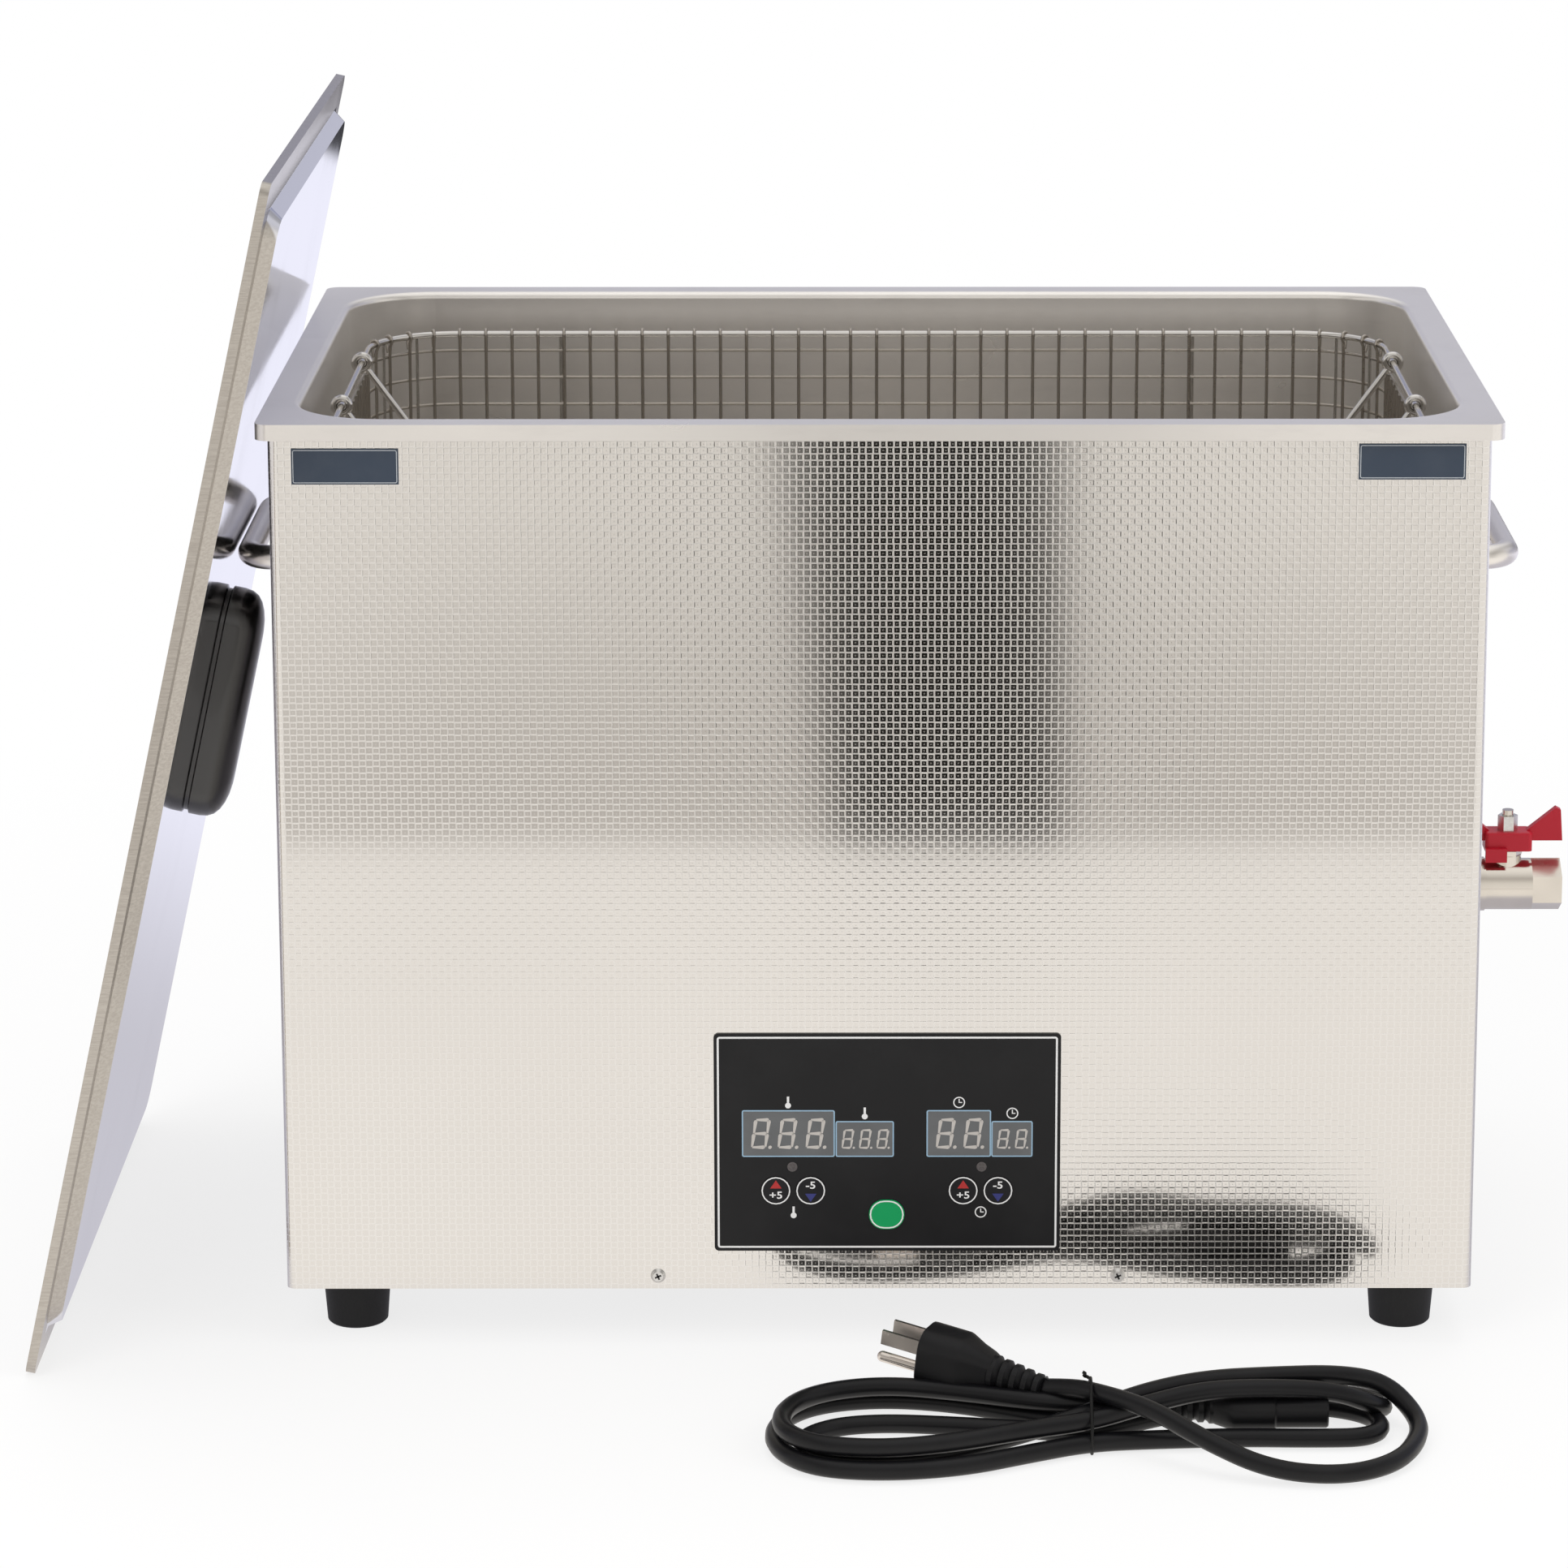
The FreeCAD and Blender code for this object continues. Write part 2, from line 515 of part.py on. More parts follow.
def make_side_handles():
    """Two fixed carrying handles of round bar, each with a stud and a nut at either leg."""
    right = new_body("side_handle_right")
    route = draw(right, "XY_Plane", "handle_height")
    root, reach = "casing_length / 2", "casing_length / 2 + handle_reach - handle_bar"
    half, turn = "handle_half", "handle_bend"
    corners = [(root, f"-{half}"), (f"{reach} - {turn}", f"-{half}"), (reach, f"{turn} - {half}")]
    corners += [(reach, f"{half} - {turn}"), (f"{reach} - {turn}", half), (root, half)]
    spots = [Vector(worth(x), worth(y), 0) for x, y in corners]
    middles = [(f"{reach} - {turn}", f"{turn} - {half}"), (f"{reach} - {turn}", f"{half} - {turn}")]
    bends = [Part.Circle(Vector(worth(x), worth(y), 0), Vector(0, 0, 1), worth(turn)) for x, y in middles]
    first = route.addGeometry(Part.LineSegment(spots[0], spots[1]))
    near = route.addGeometry(Part.ArcOfCircle(bends[0], -math.pi / 2, 0))
    grip = route.addGeometry(Part.LineSegment(spots[2], spots[3]))
    far = route.addGeometry(Part.ArcOfCircle(bends[1], 0, math.pi / 2))
    last = route.addGeometry(Part.LineSegment(spots[4], spots[5]))
    for edge, following in ((first, near), (near, grip), (grip, far), (far, last)):
        route.addConstraint(Sketcher.Constraint("Tangent", edge, 2, following, 1))
    route.addConstraint(Sketcher.Constraint("Equal", near, far))
    for edge, direction in ((first, "Horizontal"), (last, "Horizontal"), (grip, "Vertical")):
        route.addConstraint(Sketcher.Constraint(direction, edge))
    pin(route, first, 1, *corners[0])
    pin(route, last, 2, *corners[5])
    tie(route, "Radius", near, turn)
    number = route.addConstraint(Sketcher.Constraint("DistanceX", -1, 1, grip, 1, worth(reach)))
    route.setExpression(f"Constraints[{number}]", formula(reach))
    section = circle(draw(right, "YZ_Plane", root), f"-{half}", "handle_height", "handle_bar")
    bar = right.newObject("PartDesign::AdditivePipe", "Bar")
    bar.Profile = section
    bar.Spine = (route, [f"Edge{number}" for number in range(1, 6)])
    doc.recompute()
    studs = draw(right, "YZ_Plane", root)
    circle(studs, f"-{half}", "handle_height", "stud")
    circle(studs, half, "handle_height", "stud")
    pad(right, studs, "stud_length", backwards=True)
    left = doc.addObject("Part::Mirroring", "Mirror")
    left.Source = right
    left.Normal = Vector(1, 0, 0)
    keep(left, "side_handle_left")
    nuts = []
    for side in (-1, 1):
        for along in ("-handle_half", "handle_half"):
            start = "casing_length / 2 - gauge - 4" if side > 0 else "gauge - casing_length / 2"
            nut = hexagon(10, 4, start, along, "handle_height", ALONG_X)
            nuts.append(cut(nut, rod("stud + 0.05", 4, start, along, "handle_height", ALONG_X)))
    keep(together(*nuts), "side_handle_nuts")


# ---- drain and valve ------------------------------------------------------------------------------------------------


def make_drain():
    """The welded socket under the tank, the elbow that runs out through the casing, its nut and its washer."""
    socket_height = 14
    under = f"{FLOOR_UNDER} - {socket_height}"
    keep(collar(13, "drain_bore", socket_height, "drain_x", 0, under), "drain_socket")
    bend_top = "drain_height + elbow_bend"
    drop = f"{under} - ({bend_top})"
    bend_end = "drain_x + elbow_bend"
    run = "valve_start + 11 - drain_x - elbow_bend"
    quarter = Rotation(Vector(1, 0, 0), 90) * Rotation(Vector(0, 0, 1), 180)
    outer = fuse(
        rod("pipe_outer", drop, "drain_x", 0, bend_top),
        bend("elbow_bend", "pipe_outer", bend_end, 0, bend_top, quarter),
        rod("pipe_outer", run, bend_end, 0, "drain_height", ALONG_X),
    )
    bore = fuse(
        rod("drain_bore - 1", drop, "drain_x", 0, bend_top),
        bend("elbow_bend", "drain_bore - 1", bend_end, 0, bend_top, quarter),
        rod("drain_bore - 1", run, bend_end, 0, "drain_height", ALONG_X),
    )
    keep(cut(outer, bore), "drain_elbow")
    nut_x = "casing_length / 2 - gauge - 5"
    nut = hexagon(24, 5, nut_x, 0, "drain_height", ALONG_X)
    lock_nut = cut(nut, rod("pipe_outer + 0.05", 5, nut_x, 0, "drain_height", ALONG_X))
    washer = collar(13.5, "pipe_outer + 0.1", 1.5, "casing_length / 2", 0, "drain_height", ALONG_X)
    keep(together(lock_nut, washer), "drain_nut_and_washer")


def make_valve():
    """A two-piece ball valve: body, hexagon end, seats, ball, stem, packing nut and red butterfly handle."""
    height = "drain_height"
    barrel = rod("valve_outer", "valve_split - valve_start", "valve_start", 0, height, ALONG_X)
    shoulder = rod("valve_outer + 0.6", 4, "valve_start + 15", 0, height, ALONG_X)
    tower = rod(6.6, "valve_outer + 2.6", "stem_x", 0, height)
    body = cut(
        fuse(barrel, shoulder, tower),
        rod("pipe_outer + 0.05", 11.5, "valve_start", 0, height, ALONG_X),
        rod("valve_port", "valve_split - valve_start", "valve_start", 0, height, ALONG_X),
        rod("valve_chamber", "valve_split - stem_x + 11", "stem_x - 11", 0, height, ALONG_X),
        rod("stem + stem_play", 20, "stem_x", 0, height),
    )
    keep(body, "valve_body")
    bar = hexagon(21.4, "valve_end_x - valve_split", "valve_split", 0, height, ALONG_X)
    passage = rod("valve_port", "valve_end_x - valve_split", "valve_split", 0, height, ALONG_X)
    thread = rod("outlet_bore", "outlet_depth", "valve_end_x - outlet_depth", 0, height, ALONG_X)
    keep(cut(bar, passage, thread), "valve_end")
    seats = []
    for start, depth in (("stem_x - 11", 5), ("stem_x + 6", "valve_split - stem_x - 6")):
        ring = rod("valve_chamber", depth, start, 0, height, ALONG_X)
        hole = rod("valve_port", depth, start, 0, height, ALONG_X)
        seats.append(cut(ring, hole, sphere("ball + 0.1", "stem_x", 0, height)))
    keep(together(*seats), "valve_seats")
    nut_z = "drain_height + valve_outer + 2.6"
    nut = hexagon(12, 2.4, "stem_x", 0, nut_z)
    keep(cut(nut, rod("stem + stem_play", 2.4, "stem_x", 0, nut_z)), "valve_packing_nut")
    ball = cut(
        sphere("ball", "stem_x", 0, height),
        rod("valve_port - 0.4", 30, "stem_x - 15", 0, height, ALONG_X),
        rod("stem", 10, "stem_x", 0, "drain_height + 7.6"),
    )
    keep(ball, "valve_ball")
    foot = "drain_height + 7.6"
    keep(fuse(rod("stem", 18.4, "stem_x", 0, foot), rod(2.6, 27.9, "stem_x", 0, foot)), "valve_stem")


def make_valve_handle():
    """The butterfly handle: a hub with a stop skirt and two upright flared wings, and the nut that holds it."""
    handle = new_body("valve_handle")
    hub = rounded(draw(handle, "XY_Plane", 17.2), 0, 0, 21.8, 13, 2)
    top = pad(handle, hub, 8.8)
    soften(handle, top, level_edges(top, 26), 1.2)
    half_wing = 2
    outline = [(10.2, 21.2), (25.2, 21.2), (24.2, 35.8), (22, 37), (8, 25.6), (4, 25.6), (4, 21.2)]
    for side in (1, -1):
        wing = polygon(draw(handle, "XZ_Plane", -half_wing), [(side * x, z) for x, z in outline])
        pad(handle, wing, 2 * half_wing)
    skirt = polygon(draw(handle, "XZ_Plane", 7.1), [(-10.9, 12.6), (-1, 12.6), (-1, 19), (-10.9, 19)])
    pad(handle, skirt, 2)
    bridge = polygon(draw(handle, "XZ_Plane", 6), [(-10.9, 17.2), (-1, 17.2), (-1, 19), (-10.9, 19)])
    pad(handle, bridge, 3.1)
    bore = circle(draw(handle, "XY_Plane", 30), 0, 0, 3.45)
    pocket(handle, bore, 20)
    put(handle, "stem_x", 0, "drain_height")
    nut_z = "drain_height + 26"
    keep(cut(hexagon(8, 7, "stem_x", 0, nut_z), rod(2.65, 7, "stem_x", 0, nut_z)), "valve_handle_nut")


# ---- control panel --------------------------------------------------------------------------------------------------

# Middles and sizes over the panel's own middle: windows, indicator lamps and round keys.
WINDOWS = [(-43.1, 4.2, 39.5, 20.4), (-9.8, 1.7, 24.4, 15.4), (31.2, 4.2, 27.1, 20.4), (54.4, 1.7, 17, 15.4)]
LAMPS = [(-41.4, -11.1), (41.2, -11.1)]
KEYS = {
    "key_temperature_up": (-48.6, -21.9),
    "key_temperature_down": (-33.4, -21.9),
    "key_timer_up": (33.2, -21.9),
    "key_timer_down": (48.4, -21.9),
}
START_KEY = (-0.2, -32.9, 15.8, 13.8)
BOARD_Y = f"{FRONT} + gauge + board_gap"


def make_panel():
    """The black front sheet of the control panel, its windows, its lamps and the keys that move through it."""
    overlay = new_body("panel_overlay")
    outline = draw(overlay, "XZ_Plane", "casing_width / 2")
    rounded(outline, *PANEL_CENTRE, "panel_length", "panel_height", 2)
    for x, z, length, height in WINDOWS:
        rounded(outline, f"panel_x + {x}", f"panel_z + {z}", length, height, 0.5)
    for x, z in LAMPS:
        circle(outline, f"panel_x + {x}", f"panel_z + {z}", 2.3)
    for x, z in KEYS.values():
        circle(outline, f"panel_x + {x}", f"panel_z + {z}", "key_hole")
    x, z, length, height = START_KEY
    rounded(outline, f"panel_x + {x}", f"panel_z + {z}", length, height, 6.7)
    pad(overlay, outline, "panel_skin")
    lenses = []
    for x, z, length, height in WINDOWS:
        corner = (f"panel_x + {x - length / 2}", f"{FRONT} - panel_skin", f"panel_z + {z - height / 2}")
        lenses.append(block(*corner, length, "panel_skin + gauge", height))
    keep(together(*lenses), "display_windows")
    lamps = []
    for x, z in LAMPS:
        start = f"{FRONT} - panel_skin"
        body = rod(2.2, f"{BOARD_Y} - ({start})", f"panel_x + {x}", start, f"panel_z + {z}", ALONG_Y)
        dome = sphere(2.2, f"panel_x + {x}", f"{start} + 1.6", f"panel_z + {z}")
        lamps.append(fuse(body, dome))
    keep(together(*lamps), "indicator_lamps")


def make_keys():
    """Five key caps, each with a flange behind the front sheet and a stem towards its switch."""
    face, behind = f"{FRONT} - panel_skin - 0.5", f"{FRONT} + 0.1"
    for node, (x, z) in KEYS.items():
        across, up = f"panel_x + {x}", f"panel_z + {z}"
        cap = rod("key_hole - key_play", f"{behind} - ({face})", across, face, up, ALONG_Y)
        flange = rod("key_hole + 0.8", 1, across, behind, up, ALONG_Y)
        keep(fuse(cap, flange, rod(2, 4.6, across, f"{behind} + 1", up, ALONG_Y)), node)
    x, z, length, height = START_KEY
    across, up = f"panel_x + {x}", f"panel_z + {z}"
    key = new_body("key_start")
    outline = draw(key, "XZ_Plane", "casing_width / 2 - 0.1")
    rounded(outline, across, up, f"{length} - 2 * key_play", f"{height} - 2 * key_play", 6.5)
    pad(key, outline, "panel_skin + 0.6")
    rim = rounded(draw(key, "XZ_Plane", "casing_width / 2 - 1.1"), across, up, length + 1.6, height + 1.6, 7)
    pad(key, rim, 1)
    stem = circle(draw(key, "XZ_Plane", "casing_width / 2 - 1.1"), across, up, 2)
    pad(key, stem, 4.6, backwards=True)


def make_control_board():
    """The board behind the panel, with the display modules and key switches soldered on its front."""
    board = block("panel_x - 73", BOARD_Y, "panel_z - 40", 146, "board", 80)
    keep(board, "control_board")
    modules = []
    start = f"{FRONT} + gauge"
    for x, z, length, height in WINDOWS:
        corner = (f"panel_x + {x - length / 2 + 0.5}", start, f"panel_z + {z - height / 2 + 0.5}")
        modules.append(block(*corner, length - 1, f"{BOARD_Y} - ({start})", height - 1))
    for x, z in list(KEYS.values()) + [START_KEY[:2]]:
        across, up = f"panel_x + {x}", f"panel_z + {z}"
        base = block(f"{across} - 3", f"{BOARD_Y} - 4", f"{up} - 3", 6, 4, 6)
        modules.append(fuse(base, rod(1.7, 1, across, f"{BOARD_Y} - 5", up, ALONG_Y)))
    keep(together(*modules), "control_board_components")


# ---- inside: generator, fan, mains inlet, transducers, heaters -------------------------------------------------------

GENERATOR = (-70, -40, 180, 120)
STANDOFF = 10


def make_generator():
    """The ultrasonic generator's board with its transformer, capacitors and finned heat sink, on spacers."""
    x, y, length, width = GENERATOR
    deck = "foot_height + gauge"
    top = f"{deck} + {STANDOFF} + board"
    keep(block(x, y, f"{deck} + {STANDOFF}", length, width, "board"), "generator_board")
    posts = []
    for across in (x + 6, x + length - 6):
        for along in (y + 6, y + width - 6):
            posts.append(rod(3, STANDOFF, across, along, deck))
    for across in (-69.5, 69.5):
        for up in (-36, 36):
            spot = (f"panel_x + {across}", f"{FRONT} + gauge", f"panel_z + {up}")
            posts.append(rod(2.2, "board_gap", *spot, ALONG_Y))
    keep(together(*posts), "board_standoffs")
    core = block(x + 14, y + 14, top, 42, 42, 34)
    transformer = fuse(core, block(x + 8, y + 24, top, 54, 22, 30))
    cans = [rod(11, 32, x + 24 + 30 * number, y + 90, top) for number in range(5)]
    keep(together(transformer, *cans), "generator_components")
    sink = new_body("generator_heat_sink")
    start = x + 74
    profile = [(start, 0), (start + 90, 0), (start + 90, 6)]
    for fin in range(10, 0, -1):
        right = start + fin * 9 - 3
        profile += [(right, 6), (right, 44), (right - 2, 44), (right - 2, 6)]
    profile.append((start, 6))
    section = polygon(draw(sink, "XZ_Plane", -(y + 50), top), profile)
    pad(sink, section, 36)


def make_fan():
    """The cooling fan: a square duct with a hub on struts, a seven-bladed rotor and a guard outside the rear panel."""
    face = "casing_width / 2 - 2 * gauge - fan_depth"
    side = "fan_side"
    frame = block("fan_x - fan_side / 2", face, "fan_z - fan_side / 2", side, "fan_depth", side)
    duct = rod("fan_bore", "fan_depth", "fan_x", face, "fan_z", ALONG_Y)
    struts = [block("fan_x - fan_bore - 0.5", face, "fan_z - 2", "2 * fan_bore + 1", 3, 4)]
    struts.append(block("fan_x - 2", face, "fan_z - fan_bore - 0.5", 4, 3, "2 * fan_bore + 1"))
    hub = rod(16, 3, "fan_x", face, "fan_z", ALONG_Y)
    bearing = rod(1.56, 4, "fan_x", face, "fan_z", ALONG_Y)
    keep(cut(fuse(cut(frame, duct), hub, *struts), bearing), "fan_frame")
    start = f"{face} + 4"
    core = rod(17, 18, "fan_x", start, "fan_z", ALONG_Y)
    shaft = rod(1.5, 5, "fan_x", f"{face}", "fan_z", ALONG_Y)
    blades = []
    for number in range(7):
        blade = doc.addObject("Part::Box", "Blade")
        bind(blade, {"Length": "fan_bore - 18", "Width": 1.6, "Height": 20})
        around = Rotation(Vector(0, 1, 0), number * 360 / 7)
        pitch = Rotation(Vector(1, 0, 0), 50)
        hold = around * pitch
        corner = around.multVec(Vector(16, 0, 0)) + hold.multVec(Vector(0, -0.8, -10))
        put(blade, f"fan_x + {corner.x:.4f}", f"{start} + 9 + {corner.y:.4f}", f"fan_z + {corner.z:.4f}", hold)
        blades.append(blade)
    keep(fuse(core, shaft, *blades), "fan_rotor")
    outside = "casing_width / 2 - gauge"
    rings = [collar(radius, radius - 1.5, 1.5, "fan_x", outside, "fan_z", ALONG_Y) for radius in (39, 30, 21, 12)]
    rings.append(rod(5, 1.5, "fan_x", outside, "fan_z", ALONG_Y))
    for turn in (45, 135):
        bar = bind(doc.addObject("Part::Box", "Stay"), {"Length": 100, "Width": 1.5, "Height": 3})
        around = Rotation(Vector(0, 1, 0), turn)
        corner = around.multVec(Vector(-50, 0, -1.5))
        rings.append(put(bar, f"fan_x + {corner.x:.4f}", outside, f"fan_z + {corner.z:.4f}", around))
    keep(fuse(*rings), "fan_guard")


def make_inlet():
    """The mains inlet at the back: one housing with the three-pin inlet below and the rocker switch above."""
    outside = "casing_width / 2 - gauge"
    flange = block("inlet_x - 15.5", outside, "inlet_z - 25", 31, 3, 50)
    shell = block("inlet_x - 13.8", f"{outside} - 26", "inlet_z - 23", 27.6, 26, 46)
    socket = block("inlet_x - 12.3", f"{outside} - 17", "inlet_z - 20", 24.6, 20, 17)
    opening = block("inlet_x - 10.5", f"{outside} - 17", "inlet_z + 3", 21, 20, 14)
    axle_holes = rod(1.05, 24, "inlet_x - 12", f"{outside} - 2", "inlet_z + 10", ALONG_X)
    keep(cut(fuse(flange, shell), socket, opening, axle_holes), "power_inlet")
    pins = []
    for across, up in ((-7, -15), (7, -15), (0, -8.6)):
        pins.append(block(f"inlet_x + {across - 1}", f"{outside} - 17", f"inlet_z + {up - 2}", 2, 14, 4))
    keep(together(*pins), "inlet_pins")
    rocker = new_body("power_switch_rocker")
    outline = [(-9, -2.5), (-1, -5.7), (2, -5.9), (0.3, 0), (0.3, 5.9), (-1.4, 5.8), (-9, 2.5)]
    side = polygon(draw(rocker, "YZ_Plane", -10), outline)
    pad(rocker, side, 20)
    axle = circle(draw(rocker, "YZ_Plane", -11.8), -2, 0, 1)
    pad(rocker, axle, 23.6)
    put(rocker, "inlet_x", outside, "inlet_z + 10")


def make_transducers():
    """Ten bolted transducers bonded under the tank: front masses, ring pairs, back masses and bolts."""
    fronts, rings, backs, bolts = [], [], [], []
    under = FLOOR_UNDER
    ring_top = f"{under} - front_mass"
    stack = "2 * piezo_ring + electrode"
    back_top = f"{ring_top} - ({stack})"
    for column in range(-2, 3):
        for row in (-1, 1):
            x, y = f"{column} * transducer_pitch_x", f"{row} * transducer_pitch_y / 2"
            front = cone(17, 22, "front_mass", x, y, ring_top)
            fronts.append(cut(front, rod(4.05, 12, x, y, ring_top)))
            for drop in ("piezo_ring", stack):
                rings.append(collar(17, 6.5, "piezo_ring", x, y, f"{ring_top} - ({drop})"))
            back = f"{back_top} - back_mass"
            backs.append(collar(17, 4.3, "back_mass", x, y, back))
            head = hexagon(13, 5, x, y, f"{back} - 5")
            bolts.append(fuse(head, rod(4, f"back_mass + {stack} + 11", x, y, back)))
    keep(together(*fronts), "transducer_front_masses")
    keep(together(*rings), "transducer_piezo_rings")
    keep(together(*backs), "transducer_back_masses")
    keep(together(*bolts), "transducer_bolts")


def make_heaters():
    """Two heating pads bonded to the tank's front and back walls."""
    pads = []
    for y in ("-tank_width / 2 - tank_wall - 3", "tank_width / 2 + tank_wall"):
        pads.append(block(-190, y, f"{FLOOR_TOP} + 26", 380, 3, 80))
    keep(together(*pads), "heater_pads")


# ---- lid ------------------------------------------------------------------------------------------------------------


def lid_place():
    """Where the lid leans: its under edge just off the bench, its raised face just off the left carrying handle."""
    lean = math.radians(sheet.lid_lean)
    height = sheet.lid_length / 2 * math.cos(lean) + sheet.lid_skirt * math.sin(lean) + 0.3
    bar_x = -(sheet.casing_length / 2 + sheet.handle_reach - sheet.handle_bar)
    away = sheet.lid_skirt + sheet.lid_rise + sheet.lid_gap + sheet.handle_bar
    x = bar_x - (away + (sheet.handle_height - height) * math.sin(lean)) / math.cos(lean)
    along = Vector(math.sin(lean), 0, math.cos(lean))
    out = Vector(math.cos(lean), 0, -math.sin(lean))
    return Placement(Vector(x, sheet.lid_y, height), Rotation(along, out.cross(along), out, "ZXY"))


def make_lid():
    """The pressed lid, drawn flat with its handle upwards and then leaned against the left side."""
    place = lid_place()
    lid = new_body("lid")
    corner = "rim_corner"
    skirt = rounded(draw(lid, "XY_Plane"), 0, 0, "lid_length", "lid_width", corner)
    pad(lid, skirt, "lid_skirt")
    raised = draw(lid, "XY_Plane", "lid_skirt")
    rounded(raised, 0, 0, "lid_length - 2 * lid_border", "lid_width - 2 * lid_border", "lid_border")
    pad(lid, raised, "lid_rise", draft="-lid_slope")
    under = draw(lid, "XY_Plane")
    rounded(under, 0, 0, "lid_length - 2 * lid_gauge", "lid_width - 2 * lid_gauge", f"{corner} - lid_gauge")
    pocket(lid, under, "lid_skirt - lid_gauge", backwards=True)
    hollow = draw(lid, "XY_Plane", "lid_skirt - lid_gauge")
    length, width = (f"{side} - 2 * lid_border - 1.6 * lid_gauge" for side in ("lid_length", "lid_width"))
    rounded(hollow, 0, 0, length, width, "lid_border - lid_gauge")
    pocket(lid, hollow, "lid_rise", backwards=True, draft="-lid_slope")
    holes = draw(lid, "XY_Plane", "lid_skirt + lid_rise + 1")
    for across in (-38, 38):
        circle(holes, across, 0, 2.2)
    pocket(lid, holes, 4)
    lid.Placement = place
    grip = new_body("lid_handle")
    top = "lid_skirt + lid_rise"
    base = rounded(draw(grip, "XY_Plane", top), 0, 0, "grip_length", "grip_width", "grip_width / 2 - 0.5")
    solid = pad(grip, base, "grip_height", draft="-9")
    crown = soften(grip, solid, level_edges(solid, f"{top} + grip_height"), 6)
    bores = draw(grip, "XY_Plane", top)
    for across in (-38, 38):
        circle(bores, across, 0, 1.9)
    pocket(grip, bores, 9, backwards=True)
    grip.Placement = place
    screws = []
    for across in (-38, 38):
        deck = "lid_skirt + lid_rise - lid_gauge"
        head = rod(4, 2, across, 0, f"{deck} - 2")
        screws.append(fuse(head, rod(1.85, 9, across, 0, deck)))
    pair = together(*screws)
    pair.Placement = place
    keep(pair, "lid_handle_screws")


# ---- basket ---------------------------------------------------------------------------------------------------------

HALF_LENGTH = "basket_length / 2"
HALF_WIDTH = "basket_width / 2"


def wire_frame(height):
    """A rounded rectangle of wire at a height."""
    turn, wire = "basket_corner", "rim_wire"
    long_run, short_run = "basket_length - 2 * basket_corner", "basket_width - 2 * basket_corner"
    pieces = []
    for side in (-1, 1):
        pieces.append(rod(wire, long_run, f"basket_corner - {HALF_LENGTH}", f"{side} * {HALF_WIDTH}", height, ALONG_X))
        pieces.append(rod(wire, short_run, f"{side} * {HALF_LENGTH}", f"basket_corner - {HALF_WIDTH}", height, ALONG_Y))
    for number, (across, along) in enumerate(((1, 1), (-1, 1), (-1, -1), (1, -1))):
        middle = (f"{across} * ({HALF_LENGTH} - {turn})", f"{along} * ({HALF_WIDTH} - {turn})")
        pieces.append(bend(turn, wire, *middle, height, Rotation(Vector(0, 0, 1), 90 * number)))
    return fuse(*pieces)


def mesh_sheet(cells_long, cells_high):
    """A flat grid of square openings, centred on its own X axis, standing on its own X axis, as thick as its wire."""
    pitch, wire = sheet.mesh_pitch, sheet.mesh_wire
    length, height = cells_long * pitch + wire, cells_high * pitch + wire
    wires = [Part.makePolygon([Vector(x, 0, z) for x, z in grid_corners(-length / 2, 0, length, height)])]
    for column in range(cells_long):
        for row in range(cells_high):
            low_x, low_z = -length / 2 + wire + column * pitch, wire + row * pitch
            corners = grid_corners(low_x, low_z, pitch - wire, pitch - wire)
            wires.append(Part.makePolygon([Vector(x, 0, z) for x, z in corners]))
    return Part.makeFace(wires, "Part::FaceMakerBullseye").extrude(Vector(0, wire, 0))


def grid_corners(x, z, length, height):
    """The corners of a rectangle, with the first again at the end."""
    return [(x, z), (x + length, z), (x + length, z + height), (x, z + height), (x, z)]


def make_basket():
    """The wire basket: rim, base and corner wires, two hoops that it stands on, and its mesh."""
    keep(wire_frame("basket_rim"), "basket_rim")
    base = wire_frame("basket_floor + rim_wire")
    rise = "basket_rim - basket_floor - 3 * rim_wire"
    wires = []
    for across in (-1, 1):
        for along in (-1, 1):
            for angle in (30, 60):
                x = f"{across} * ({HALF_LENGTH} - basket_corner + basket_corner * cos({angle}))"
                y = f"{along} * ({HALF_WIDTH} - basket_corner + basket_corner * sin({angle}))"
                wires.append(rod("mesh_wire / 2", rise, x, y, "basket_floor + 2 * rim_wire"))
    hoops = []
    out = f"({HALF_WIDTH} + 2 * rim_wire + 0.1)"
    foot = f"{FLOOR_TOP} + rim_wire + 0.3"
    for across in (-1, 1):
        x = f"{across} * hoop_x"
        legs = [rod("rim_wire", f"basket_rim - ({foot})", x, f"{along} * {out}", foot) for along in (-1, 1)]
        run = rod("rim_wire", f"2 * {out}", x, f"-{out}", foot, ALONG_Y)
        ends = [sphere("rim_wire", x, f"{along} * {out}", foot) for along in (-1, 1)]
        hoops.append(fuse(*legs, run, *ends))
    keep(together(base, *wires), "basket_frame")
    keep(together(*hoops), "basket_hoops")
    mesh = doc.addObject("Part::Feature", "Mesh")
    mesh.Shape = Part.makeCompound(mesh_walls() + [mesh_floor()])
    keep(mesh, "basket_mesh")


